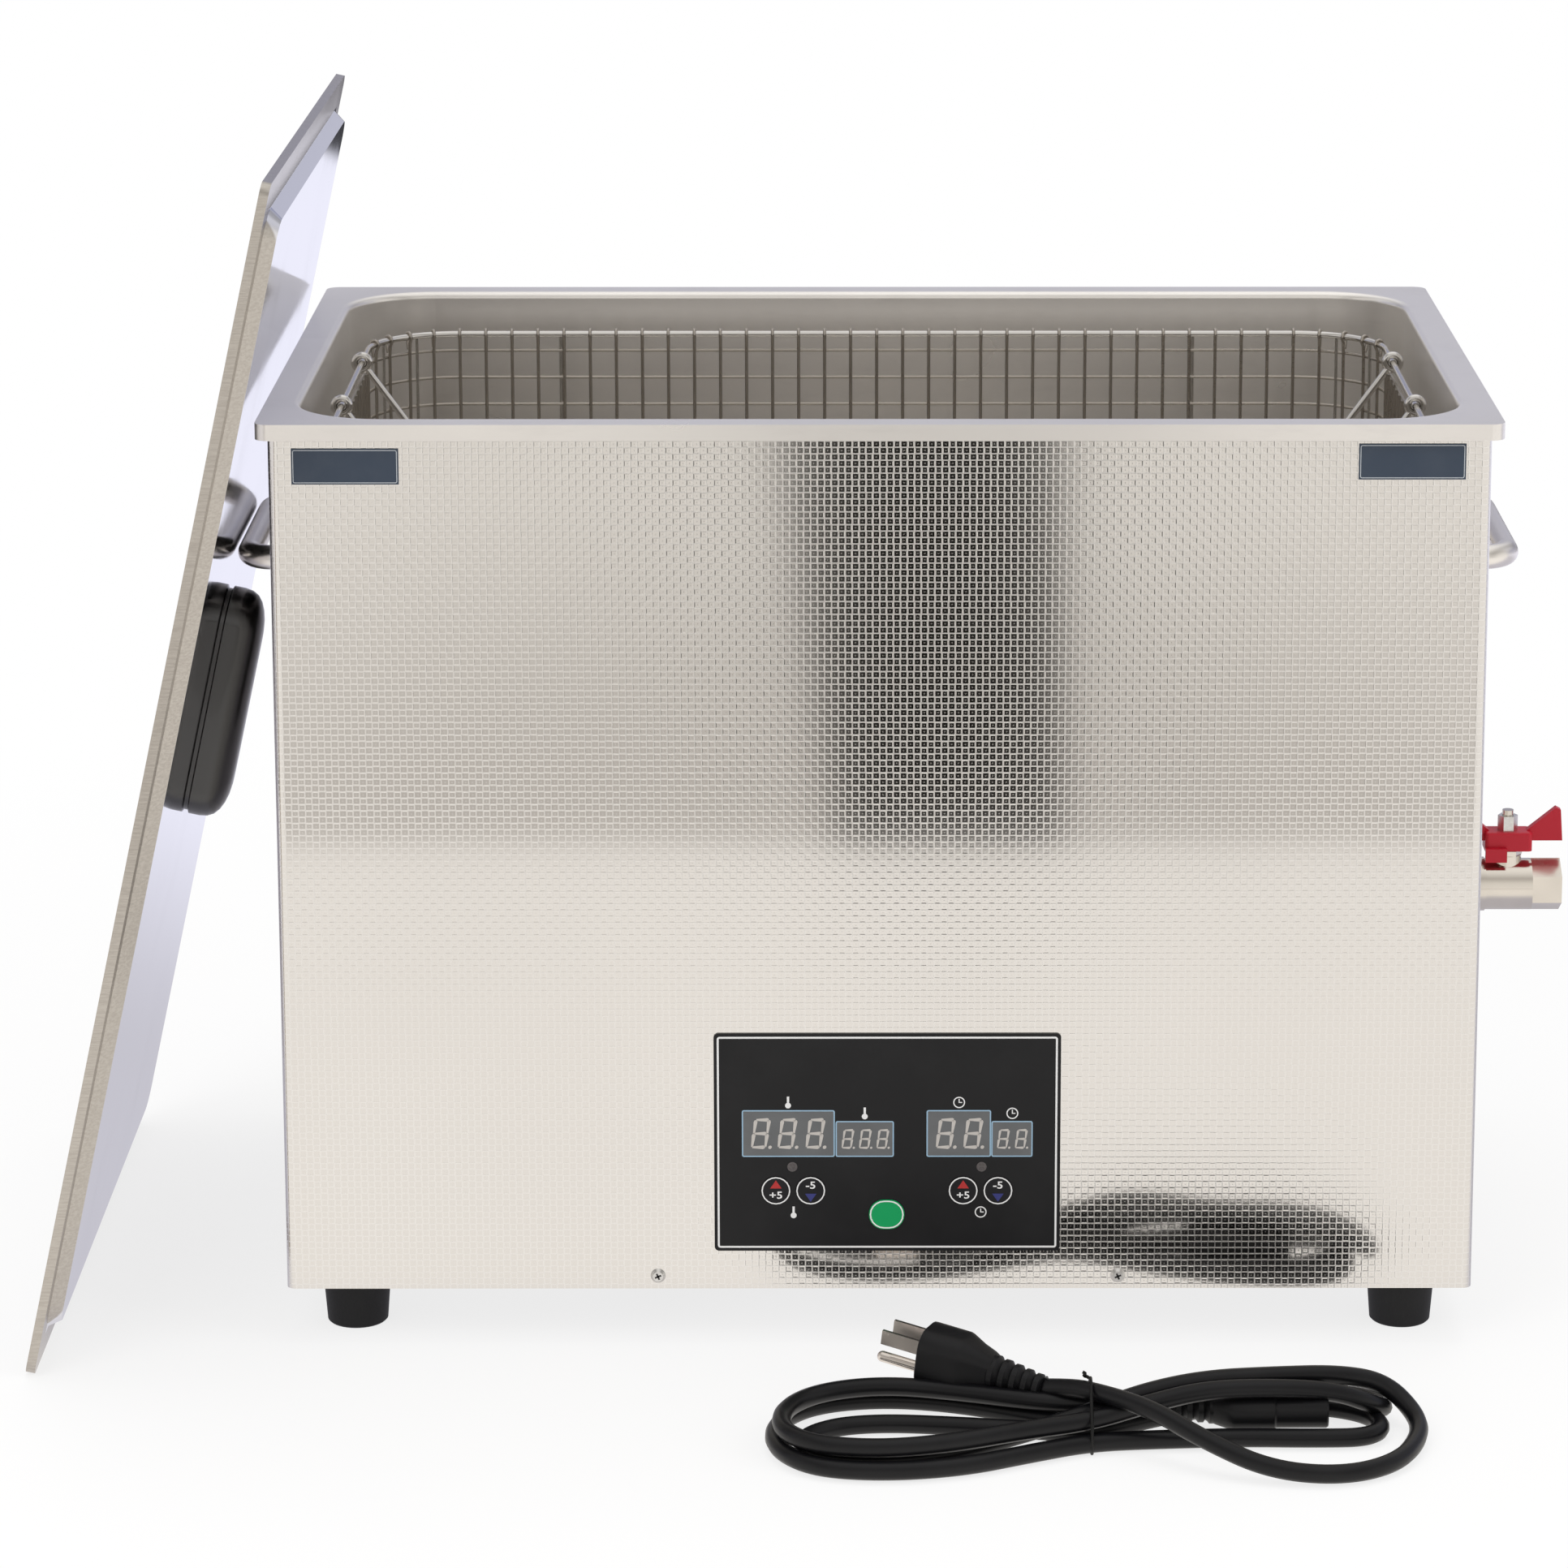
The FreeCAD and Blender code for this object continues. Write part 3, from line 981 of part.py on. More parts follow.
def mesh_walls():
    """The four upright sheets of mesh; the end sheets are notched for the handles' eyes."""
    pitch, wire = sheet.mesh_pitch, sheet.mesh_wire
    long_cells = int((sheet.basket_length - 2 * sheet.basket_corner) // pitch)
    wide_cells = int((sheet.basket_width - 2 * sheet.basket_corner) // pitch)
    high_cells = int((sheet.basket_rim - sheet.basket_floor - 4 * sheet.rim_wire) // pitch)
    low = sheet.basket_rim - sheet.rim_wire - high_cells * pitch - wire
    panels = []
    for side in (-1, 1):
        wall = mesh_sheet(long_cells, high_cells)
        wall.translate(Vector(0, side * sheet.basket_width / 2 - wire / 2, low))
        panels.append(wall)
        end = mesh_sheet(wide_cells, high_cells)
        end.rotate(Vector(), Vector(0, 0, 1), 90)
        end.translate(Vector(side * sheet.basket_length / 2 + wire / 2, 0, low))
        panels.append(end.cut([eye_room(side, along) for along in (-1, 1)]))
    return panels


def eye_room(side, along):
    """The room that one eye of a basket handle takes up round the rim wire, as a plain box."""
    reach = sheet.bail_eye + sheet.bail_wire + 0.6
    half = sheet.bail_wire + 0.8
    corner = Vector(side * sheet.basket_length / 2 - reach, along * sheet.bail_half - half, sheet.basket_rim - reach)
    return Part.makeBox(2 * reach, 2 * half, 2 * reach, corner)


def mesh_floor():
    """The level sheet of mesh, its corners trimmed inside the base wire."""
    pitch, wire = sheet.mesh_pitch, sheet.mesh_wire
    floor_long = int((sheet.basket_length - 8) // pitch)
    floor_wide = int((sheet.basket_width - 8) // pitch)
    floor = mesh_sheet(floor_long, floor_wide)
    floor.rotate(Vector(), Vector(1, 0, 0), 90)
    floor.translate(Vector(0, (floor_wide * pitch + wire) / 2, sheet.basket_floor))
    floor.rotate(Vector(), Vector(0, 0, 1), 180)
    inset = sheet.rim_wire + 0.2
    length, width = sheet.basket_length - 2 * inset, sheet.basket_width - 2 * inset
    plate = Part.makeBox(length, width, 3 * wire, Vector(-length / 2, -width / 2, sheet.basket_floor - wire))
    upright = [edge for edge in plate.Edges if edge.BoundBox.ZLength > wire]
    return floor.common(plate.makeFillet(sheet.basket_corner - inset, upright))


def make_bails():
    """The two wire handles of the basket, dropped inwards with their grips on the basket's floor."""
    corner = 8
    for node, side in (("basket_handle_left", -1), ("basket_handle_right", 1)):
        pieces = []
        for along in (-1, 1):
            y = f"{along} * bail_half"
            pieces.append(bend("bail_eye", "bail_wire", 0, y, 0, Rotation(Vector(1, 0, 0), 90), 360))
            pieces.append(rod("bail_wire", f"bail_length - {corner} - bail_eye", 0, y, f"{corner} - bail_length"))
            middle = (0, f"{along} * (bail_half - {corner})", f"{corner} - bail_length")
            turn = Rotation(Vector(0, 1, 0), 90) * Rotation(Vector(0, 0, 1), 0 if along > 0 else -90)
            pieces.append(bend(corner, "bail_wire", *middle, turn))
        grip = rod("bail_wire", f"2 * (bail_half - {corner})", 0, f"{corner} - bail_half", "-bail_length", ALONG_Y)
        bail = fuse(*pieces, grip)
        swing = Rotation(Vector(0, 1, 0), side * sheet.bail_drop)
        keep(put(bail, f"{side} * {HALF_LENGTH}", 0, "basket_rim", swing), node)


# ---- detached mains cord --------------------------------------------------------------------------------------------

TIE_X = 88


def slab(middle, half_length, half_width, low, high):
    """An upright solid with an oval plan."""
    centre = Vector(*middle, low)
    oval = Part.Ellipse(centre, half_length, half_width)
    return Part.Face(Part.Wire(oval.toShape())).extrude(Vector(0, 0, high - low))


def make_cord():
    """The cord's tied hank as its outer shape, the tie, the plug, its blades and pin, and the connector."""
    nose = block(141, -271.5, 3.2, 47, 27, 15.6)
    neck = cone(5, 7.8, 22.8, 118.2, -258, 11, ALONG_X)
    sockets = [block(184, y, z, 4.5, 2.4, 4.4) for y, z in ((-265, 6), (-253.4, 6), (-259.2, 12))]
    connector = keep(cut(fuse(nose, neck), *sockets), "appliance_connector")
    grip = [cone(5, 8, 24, 0, 0, 0, ALONG_X), cone(8, 10.5, 10, 24, 0, 0, ALONG_X), block(34, -11.5, -13, 21, 23, 26)]
    plug = keep(fuse(*grip), "mains_plug")
    along, across = Vector(-0.905, 0.405, 0.13), Vector(-0.405, -0.905, 0)
    place = Placement(Vector(69, -253, 17), Rotation(along, across, along.cross(across), "XYZ"))
    plug.Placement = place
    blades = [block(55, y - 0.75, 1.2, 18, 1.5, 6.3) for y in (-6.35, 6.35)]
    blades.append(fuse(rod(2.4, 19, 55, 0, -7.5, ALONG_X), sphere(2.4, 74, 0, -7.5)))
    prongs = keep(together(*blades), "plug_pins")
    prongs.Placement = place
    doc.recompute()
    left = slab((20, -281), 64, 41, 0.2, 17)
    right = slab((158, -274), 75, 48, 0.2, 17)
    waist = Part.makeBox(70, 32, 17, Vector(TIE_X - 35, -289, 1.6))
    gap = Part.makeBox(8, 200, 40, Vector(TIE_X - 4, -380, -1)).cut(waist)
    above_connector = Part.makeBox(70.2, 27, 30, Vector(118.2, -271.5, 11))
    above_plug = Part.makeBox(80, 24, 30, Vector(0, -12, 0))
    above_plug.Placement = place
    bench = [gap, above_connector, above_plug, connector.Shape, plug.Shape]
    hank = doc.addObject("Part::Feature", "Hank")
    hank.Shape = left.fuse([right, waist]).cut(bench).removeSplitter()
    keep(hank, "cord_hank")
    band = doc.addObject("Part::Feature", "Tie")
    band.Shape = Part.makeBox(2.5, 34.4, 19.4, Vector(TIE_X - 1.25, -290.2, 0.4)).cut(waist)
    keep(band, "cord_tie")


for make in (
    make_tank, make_casing, make_rear_panel, make_base_plate, make_feet, make_casing_screws, make_label_plates,
    make_side_handles, make_drain, make_valve, make_valve_handle, make_panel, make_keys, make_control_board,
    make_generator, make_fan, make_inlet, make_transducers, make_heaters, make_lid, make_basket, make_bails, make_cord,
):
    make()
doc.recompute()

# ---- check and write ------------------------------------------------------------------------------------------------

for item in doc.Objects:
    if {"Invalid", "Error"} & set(item.State):
        raise RuntimeError(f"{item.Label} is not sound: {item.State}")
os.makedirs("parts", exist_ok=True)
for part in parts:
    if part.Shape.isNull() or not part.Shape.isValid() or not part.Shape.Solids:
        raise RuntimeError(f"{part.Label} has no valid solid")
    part.Shape.exportStep(f"parts/{part.Label}.step")
    box = part.Shape.BoundBox
    spans = " ".join(f"{low:.1f}..{high:.1f}" for low, high in (
        (box.XMin, box.XMax), (box.YMin, box.YMax), (box.ZMin, box.ZMax)))
    print(f"{part.Label:26s} {len(part.Shape.Solids):3d} solids {part.Shape.Volume / 1000:9.2f} cm3  {spans}")
print(f"{len(parts)} pieces")
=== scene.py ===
"""A bench-top ultrasonic cleaner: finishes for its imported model, the finer pieces on it, its cord and the studio."""

import json
import math

import bmesh
import bpy
from mathutils import Matrix, Vector


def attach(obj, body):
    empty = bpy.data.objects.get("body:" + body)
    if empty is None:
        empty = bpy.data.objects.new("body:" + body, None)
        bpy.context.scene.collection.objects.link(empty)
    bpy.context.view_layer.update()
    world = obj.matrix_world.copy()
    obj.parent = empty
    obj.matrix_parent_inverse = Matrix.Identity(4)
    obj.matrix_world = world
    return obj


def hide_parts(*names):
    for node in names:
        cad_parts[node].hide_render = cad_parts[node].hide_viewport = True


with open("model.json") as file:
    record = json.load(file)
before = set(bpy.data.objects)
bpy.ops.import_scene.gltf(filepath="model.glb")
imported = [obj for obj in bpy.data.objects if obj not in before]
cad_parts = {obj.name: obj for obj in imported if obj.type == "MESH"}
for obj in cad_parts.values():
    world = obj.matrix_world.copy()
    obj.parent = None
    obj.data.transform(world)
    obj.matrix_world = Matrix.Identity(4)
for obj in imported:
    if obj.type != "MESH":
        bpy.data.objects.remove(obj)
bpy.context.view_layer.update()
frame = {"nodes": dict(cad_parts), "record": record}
nodes = frame["nodes"]
MM = 0.001

LID_LEAN = math.radians(12.4)
LID_MIDDLE = Vector((-0.31266, -0.032, 0.26193))
PLATE_FACE = -160.54
PLATES = [(-227, 395), (226, 397)]
FOOT_X, FOOT_Y = 232, 128


# ---- camera ---------------------------------------------------------------------------------------------------------

lens = bpy.data.cameras.new("camera")
lens.lens = 121.8
lens.sensor_width = 36
lens.shift_x = -0.049
lens.shift_y = -0.2
camera = bpy.data.objects.new("camera", lens)
camera.location = (-0.0125, -2.3608, 0.8669)
camera.rotation_euler = (math.pi / 2 - 0.212, 0, -0.002)
bpy.context.scene.collection.objects.link(camera)
bpy.context.scene.camera = camera


# ---- shader kit -----------------------------------------------------------------------------------------------------


class Amount:
    """A shader socket that takes part in ordinary sums."""

    def __init__(self, finish, socket):
        self.finish = finish
        self.socket = socket

    def __add__(self, other):
        return self.finish.maths("ADD", self, other)

    def __radd__(self, other):
        return self.finish.maths("ADD", other, self)

    def __sub__(self, other):
        return self.finish.maths("SUBTRACT", self, other)

    def __rsub__(self, other):
        return self.finish.maths("SUBTRACT", other, self)

    def __mul__(self, other):
        return self.finish.maths("MULTIPLY", self, other)

    def __rmul__(self, other):
        return self.finish.maths("MULTIPLY", other, self)

    def __truediv__(self, other):
        return self.finish.maths("DIVIDE", self, other)

    def __rtruediv__(self, other):
        return self.finish.maths("DIVIDE", other, self)

    def floor(self):
        return self.finish.maths("FLOOR", self)

    def fraction(self):
        return self.finish.maths("FRACT", self)

    def size(self):
        return self.finish.maths("ABSOLUTE", self)

    def larger(self, other):
        return self.finish.maths("MAXIMUM", self, other)

    def over(self, limit):
        return self.finish.maths("GREATER_THAN", self, limit)

    def ease(self, low, high, start=0.0, end=1.0):
        """A soft step from start to end while this goes from low to high."""
        step = {"interpolation_type": "SMOOTHSTEP"}
        values = {0: self, 1: low, 2: high, 3: start, 4: end}
        return Amount(self.finish, self.finish.node("MapRange", step, values).outputs[0])


class Finish:
    """One material, built node by node."""

    def __init__(self, name, holder=None):
        self.holder = holder or bpy.data.materials.new(name)
        self.holder.use_nodes = True
        self.tree = self.holder.node_tree
        self.tree.nodes.clear()

    def node(self, kind, settings=None, values=None):
        """A node of a kind, with its settings and then its sockets' values or links."""
        made = self.tree.nodes.new("ShaderNode" + kind)
        for name, value in (settings or {}).items():
            if name == "stops":
                for stop, (place, colour) in zip(self.stops(made, len(value)), value):
                    stop.position = place
                    stop.color = (*colour, 1)
            else:
                setattr(made, name, value)
        for key, value in (values or {}).items():
            if isinstance(value, Amount):
                self.tree.links.new(value.socket, made.inputs[key])
            else:
                socket = made.inputs[key]
                socket.default_value = (*value, 1) if socket.type == "RGBA" and len(value) == 3 else value
        return made

    def stops(self, ramp, count):
        while len(ramp.color_ramp.elements) < count:
            ramp.color_ramp.elements.new(0.5)
        return ramp.color_ramp.elements

    def maths(self, operation, *values):
        made = self.node("Math", {"operation": operation}, dict(enumerate(values)))
        return Amount(self, made.outputs[0])

    def place(self):
        return Amount(self, self.node("TexCoord").outputs["Object"])

    def split(self, vector):
        parts = self.node("SeparateXYZ", None, {0: vector})
        return [Amount(self, socket) for socket in parts.outputs]

    def facing(self):
        """The three parts of the surface's own direction."""
        return self.split(Amount(self, self.node("NewGeometry").outputs["Normal"]))

    def noise(self, scale, stretch=(1, 1, 1), detail=3.0, coarse=0.5):
        """Noise on the object's own coordinates, from about 0.3 to 0.7."""
        spread = self.node("Mapping", None, {"Vector": self.place(), "Scale": stretch})
        values = {"Vector": Amount(self, spread.outputs[0]), "Scale": scale, "Detail": detail, "Roughness": coarse}
        return Amount(self, self.node("TexNoise", None, values).outputs[0])

    def mix(self, share, first, second):
        """A colour between two colours."""
        made = self.node("Mix", {"data_type": "RGBA"}, {0: share, 6: first, 7: second})
        return Amount(self, made.outputs[2])

    def bump(self, height, depth, strength=1.0):
        values = {"Strength": strength, "Distance": depth, "Height": height}
        return Amount(self, self.node("Bump", None, values).outputs[0])

    def surface(self, **values):
        """The Principled surface; an underscore in a name stands for a space."""
        named = {name.replace("_", " "): value for name, value in values.items()}
        shader = self.node("BsdfPrincipled", None, named)
        self.out(Amount(self, shader.outputs[0]))
        return self.holder

    def out(self, shader):
        kind = "OutputWorld" if isinstance(self.holder, bpy.types.World) else "OutputMaterial"
        self.node(kind, None, {"Surface": shader})


def tinted(colour, by):
    """A colour made lighter or darker by a factor."""
    return tuple(min(1.0, part * by) for part in colour)


# ---- metal finishes -------------------------------------------------------------------------------------------------


def linen_steel():
    """Bright sheet pressed with a fine linen pattern: raised grid lines round alternate large and small squares."""
    finish = Finish("linen_steel")
    column, row = 0.00294, 0.0028
    x, y, z = finish.split(finish.place())
    sideways = finish.facing()[0].size().over(0.5)
    across = (x * (1 - sideways) + y * sideways) / column
    up = z / row
    odd = ((across.floor() + up.floor()) / 2).fraction() * 2
    from_middle = (across.fraction() - 0.5).size()
    over_middle = (up.fraction() - 0.5).size()
    edge = from_middle.larger(over_middle)
    ridge = edge.ease(0.29 + odd * 0.12, 0.48)
    dimple = (from_middle * from_middle + over_middle * over_middle).ease(0.004, 0.012, 1.0, 0.0)
    height = ridge + dimple * 0.3
    cloud = finish.noise(5, detail=2)
    tone = finish.mix(ridge.ease(0.0, 0.5), (0.80, 0.775, 0.74), (0.87, 0.85, 0.82))
    tone = finish.mix(cloud.ease(0.35, 0.65, 0.0, 0.10), tone, (0.68, 0.66, 0.63))
    return finish.surface(
        Base_Color=tone,
        Metallic=1.0,
        Roughness=0.06 + ridge * 0.18 + cloud * 0.03,
        Normal=finish.bump(height, 0.00008, 0.28),
    )


def brushed(name, colour, roughness, stretch=(1, 18, 18), depth=0.00002, worn=0.1):
    """Brushed metal: fine streaks along one axis, and slow changes of tone."""
    finish = Finish(name)
    streaks = finish.noise(90, stretch, 4.0, 0.6)
    cloud = finish.noise(7, detail=3)
    tone = finish.mix(streaks.ease(0.3, 0.7), tinted(colour, 1 - worn), tinted(colour, 1 + worn * 0.6))
    tone = finish.mix(cloud.ease(0.4, 0.7, 0.0, 0.35), tone, tinted(colour, 1 - 1.6 * worn))
    return finish.surface(
        Base_Color=tone,
        Metallic=1.0,
        Roughness=roughness + streaks * 0.10 + cloud * 0.06 - 0.08,
        Normal=finish.bump(streaks, depth, 0.5),
    )


def polished(name, colour, roughness, smudge=0.08):
    """Polished metal with a few faint smudges and hairlines."""
    finish = Finish(name)
    smudges = finish.noise(11, detail=5, coarse=0.6)
    hairlines = finish.noise(260, (1, 9, 9), 3.0, 0.6)
    tone = finish.mix(smudges.ease(0.45, 0.75, 0.0, 0.6), colour, tinted(colour, 0.9))
    return finish.surface(
        Base_Color=tone,
        Metallic=1.0,
        Roughness=roughness + smudges.ease(0.4, 0.8, 0.0, smudge) + hairlines * 0.03,
        Normal=finish.bump(hairlines, 0.000004, 0.4),
    )


def drawn_sheet():
    """The tank and its rim: a plain satin sheet, a little cloudy."""
    finish = Finish("satin_steel")
    cloud = finish.noise(7, detail=3)
    marks = finish.noise(40, (1, 1, 4), 4.0, 0.6)
    tone = finish.mix(cloud.ease(0.35, 0.7), (0.91, 0.88, 0.84), (0.84, 0.81, 0.775))
    tone = finish.mix(marks.ease(0.5, 0.8, 0.0, 0.3), tone, (0.76, 0.73, 0.70))
    return finish.surface(Base_Color=tone, Metallic=0.82, Roughness=0.24 + cloud * 0.1)


def lid_sheet():
    """The lid: a mirror in the middle, and a rougher border and edge in a darker warm grey, which is painted shade."""
    finish = Finish("polished_steel")
    mirror_length, mirror_width = 0.507, 0.2978
    x, y, z = finish.split(finish.place())
    x, y, z = x - LID_MIDDLE.x, y - LID_MIDDLE.y, z - LID_MIDDLE.z
    along = (x * math.sin(LID_LEAN) + z * math.cos(LID_LEAN)).size() - mirror_length / 2
    aside = y.size() - mirror_width / 2
    border = along.larger(aside).ease(-0.0005, 0.0005)
    smudges = finish.noise(11, detail=5, coarse=0.6)
    grain = finish.noise(120, (1, 9, 9), 3.0, 0.6)
    tone = finish.mix(smudges.ease(0.45, 0.75, 0.0, 0.6), (0.87, 0.87, 0.91), (0.78, 0.78, 0.82))
    # Painted shade: the border and edge are given a darker warm grey than the mirror, in place of the duller
    # reflection they show; their extra roughness is the finish.
    shaded_border_tone = finish.mix(grain.ease(0.3, 0.7), (0.50, 0.465, 0.42), (0.58, 0.545, 0.495))
    return finish.surface(
        Base_Color=finish.mix(border, tone, shaded_border_tone),
        Metallic=1.0,
        Roughness=0.05 + smudges.ease(0.4, 0.8, 0.0, 0.06) + border * 0.18,
        Normal=finish.bump(grain, 0.000004, 0.4),
    )


def cast(name, colour, roughness, metallic=1.0, pits=0.00008, grain=700):
    """Fine-grained metal or fired ceramic."""
    finish = Finish(name)
    fine = finish.noise(grain, detail=4, coarse=0.6)
    cloud = finish.noise(20)
    tone = finish.mix(cloud.ease(0.3, 0.7), tinted(colour, 0.85), tinted(colour, 1.1))
    return finish.surface(
        Base_Color=tone,
        Metallic=metallic,
        Roughness=roughness + fine * 0.12,
        Normal=finish.bump(fine, pits, 0.5),
    )


# ---- plastic, rubber and paint --------------------------------------------------------------------------------------


def moulded(name, colour, roughness, grain=1500, depth=0.00002, dust=0.05, coat=0.0, gloss=0.5):
    """Moulded plastic or rubber: a fine grain, and a little wear in the tone and the sheen."""
    finish = Finish(name)
    fine = finish.noise(grain, detail=2)
    cloud = finish.noise(25, detail=4, coarse=0.6)
    pale = tuple(part + dust * (0.5 - part) for part in colour)
    tone = finish.mix(cloud.ease(0.4, 0.75, 0.0, 0.7), colour, pale)
    return finish.surface(
        Base_Color=tone,
        Roughness=roughness + cloud * 0.12 - 0.06,
        Coat_Weight=coat,
        Specular_IOR_Level=gloss,
        Normal=finish.bump(fine, depth, 0.4),
    )


def lens_finish(name, colour):
    """A smoky window."""
    finish = Finish(name)
    cloud = finish.noise(60, detail=2)
    tone = finish.mix(cloud.ease(0.3, 0.7), tinted(colour, 0.92), tinted(colour, 1.08))
    return finish.surface(Base_Color=tone, Roughness=0.16 + cloud * 0.08, Coat_Weight=0.3)


def board_finish(name):
    """Solder mask with faint tracks running under it."""
    finish = Finish(name)
    x, y, z = finish.split(finish.place())
    sway = finish.noise(40, detail=1)
    tracks = ((x + y * 0.6 + z * 0.8 + sway * 0.02) / 0.004).fraction().ease(0.35, 0.5)
    tone = finish.mix(tracks, (0.02, 0.13, 0.05), (0.04, 0.24, 0.10))
    return finish.surface(Base_Color=tone, Roughness=0.35 + sway * 0.1, Normal=finish.bump(tracks, 0.00004, 0.4))


FINISHES = {
    "patterned_steel": linen_steel(),
    "sheet_steel": brushed("sheet_steel", (0.62, 0.61, 0.59), 0.36),
    "satin_steel": drawn_sheet(),
    "polished_steel": lid_sheet(),
    "polished_bar": polished("polished_bar", (0.94, 0.90, 0.85), 0.28),
    "polished_wire": polished("polished_wire", (0.74, 0.72, 0.69), 0.13),
    "mesh_wire": polished("mesh_wire", (0.50, 0.46, 0.41), 0.26, 0.12),
    "plated_steel": brushed("plated_steel", (0.74, 0.73, 0.71), 0.30, (6, 6, 6)),
    "dull_steel": cast("dull_steel", (0.36, 0.36, 0.37), 0.45),
    "nickel_brass": cast("nickel_brass", (0.72, 0.67, 0.60), 0.12, pits=0.000003),
    "pin_brass": polished("pin_brass", (0.78, 0.72, 0.66), 0.22),
    "red_paint": moulded("red_paint", (0.50, 0.008, 0.025), 0.36, 500, 0.00003, 0.02, gloss=0.35),
    "aluminium": brushed("aluminium", (0.78, 0.79, 0.80), 0.34, (4, 4, 20)),
    "ceramic": cast("ceramic", (0.62, 0.57, 0.48), 0.6, 0.0, 0.00003),
    "black_rubber": moulded("black_rubber", (0.008, 0.008, 0.008), 0.62, 900, 0.00005, 0.02, gloss=0.35),
    "cord_rubber": moulded("cord_rubber", (0.004, 0.004, 0.005), 0.36, 1300, 0.00002, 0.01, gloss=0.3),
    "plug_plastic": moulded("plug_plastic", (0.005, 0.005, 0.006), 0.42, 1800, 0.00003, 0.01, gloss=0.3),
    "tie_plastic": moulded("tie_plastic", (0.006, 0.006, 0.006), 0.5, dust=0.01, gloss=0.3),
    "black_plastic": moulded("black_plastic", (0.03, 0.03, 0.03), 0.48),
    "rocker_plastic": moulded("rocker_plastic", (0.02, 0.02, 0.02), 0.25),
    "black_bakelite": moulded("black_bakelite", (0.011, 0.009, 0.008), 0.3, 600, 0.00001, 0.01, 0.4, 0.9),
    "black_panel": moulded("black_panel", (0.008, 0.008, 0.009), 0.34, 2500, 0.00001, 0.01, gloss=0.25),
    "display_lens": lens_finish("display_lens", (0.10, 0.105, 0.11)),
    "lamp_lens": lens_finish("lamp_lens", (0.07, 0.06, 0.06)),
    "key_black": moulded("key_black", (0.008, 0.008, 0.010), 0.38, 2000, 0.00001, 0.01, gloss=0.25),
    "key_green": moulded("key_green", (0.003, 0.32, 0.10), 0.36, 2000, 0.00001, 0.01, gloss=0.3),
    "board_green": board_finish("board_green"),
    "component_black": moulded("component_black", (0.05, 0.05, 0.055), 0.5),
    "white_nylon": moulded("white_nylon", (0.82, 0.82, 0.80), 0.4, dust=0.1),
    "white_seal": moulded("white_seal", (0.88, 0.88, 0.86), 0.35, dust=0.1),
    "heater_rubber": moulded("heater_rubber", (0.42, 0.12, 0.05), 0.6, 400, 0.00006),
    "label_blue": moulded("label_blue", (0.028, 0.044, 0.072), 0.45, 1200, 0.00001),
}
INKS = {
    "white_ink": moulded("white_ink", (0.78, 0.78, 0.78), 0.5, dust=0.0),
    "red_ink": moulded("red_ink", (0.42, 0.02, 0.02), 0.5, dust=0.0),
    "blue_ink": moulded("blue_ink", (0.025, 0.03, 0.17), 0.5, dust=0.0),
    "pale_line": moulded("pale_line", (0.30, 0.46, 0.60), 0.5, dust=0.0),
    "segment_grey": moulded("segment_grey", (0.52, 0.49, 0.46), 0.4, dust=0.0),
    "plate_ink": moulded("plate_ink", (0.50, 0.53, 0.56), 0.5, dust=0.0),
    # painted shade: flat black for the shaded cross recesses in the screw heads
    "painted_recess_shade": moulded("painted_recess_shade", (0.02, 0.02, 0.02), 0.6),
}

for subpart in frame["record"]["subparts"]:
    slots = nodes[subpart["node"]].data.materials
    slots.clear()
    slots.append(FINISHES[subpart["material_slot"]])


# ---- making pieces --------------------------------------------------------------------------------------------------


def sharpen(shape, angle=35):
    """Smooth faces with crisp edges where they turn by more than an angle."""
    bmesh.ops.recalc_face_normals(shape, faces=shape.faces)
    for face in shape.faces:
        face.smooth = True
    for edge in shape.edges:
        if len(edge.link_faces) == 2 and edge.calc_face_angle(0) > math.radians(angle):
            edge.smooth = False


def settle(thing, body, stands_for):
    """Links a finished piece and gives it its body and the nodes it stands for."""
    if thing.name not in bpy.context.scene.collection.objects:
        bpy.context.scene.collection.objects.link(thing)
    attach(thing, body)
    if stands_for:
        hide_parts(*stands_for)
    return thing


def piece(name, shape, material, body, slot, *stands_for, flat=False):
    """A mesh piece from a bmesh."""
    if not flat:
        bmesh.ops.remove_doubles(shape, verts=shape.verts, dist=1e-6)
        sharpen(shape)
    mesh = bpy.data.meshes.new(name)
    shape.to_mesh(mesh)
    shape.free()
    mesh.materials.append(material)
    return settle(bpy.data.objects.new(name, mesh), body, stands_for)


def wires(name, runs, radius, material, body, slot, *stands_for, sides=1):
    """A piece of many wires, each a run of points in millimetres, closed where its first point comes again."""
    curve = bpy.data.curves.new(name, "CURVE")
    curve.dimensions = "3D"
    curve.bevel_depth = radius * MM
    curve.bevel_resolution = sides
    curve.use_fill_caps = True
    for run in runs:
        closed = (Vector(run[0]) - Vector(run[-1])).length < 1e-6
        points = run[:-1] if closed else run
        spline = curve.splines.new("POLY")
        spline.points.add(len(points) - 1)
        for point, place in zip(spline.points, points):
            point.co = (*(Vector(place) * MM), 1)
        spline.use_cyclic_u = closed
        spline.use_smooth = True
    curve.materials.append(material)
    return settle(bpy.data.objects.new(name, curve), body, stands_for)


def lathe(shape, profile, steps=40):
    """Turns a profile of (radius, height) points, in millimetres, once round the Z axis."""
    verts = [shape.verts.new((radius * MM, 0, height * MM)) for radius, height in profile]
    edges = [shape.edges.new(pair) for pair in zip(verts, verts[1:])]
    bmesh.ops.spin(
        shape, geom=verts + edges, axis=(0, 0, 1), cent=(0, 0, 0), angle=2 * math.pi, steps=steps, use_merge=True
    )
    bmesh.ops.remove_doubles(shape, verts=shape.verts, dist=1e-6)


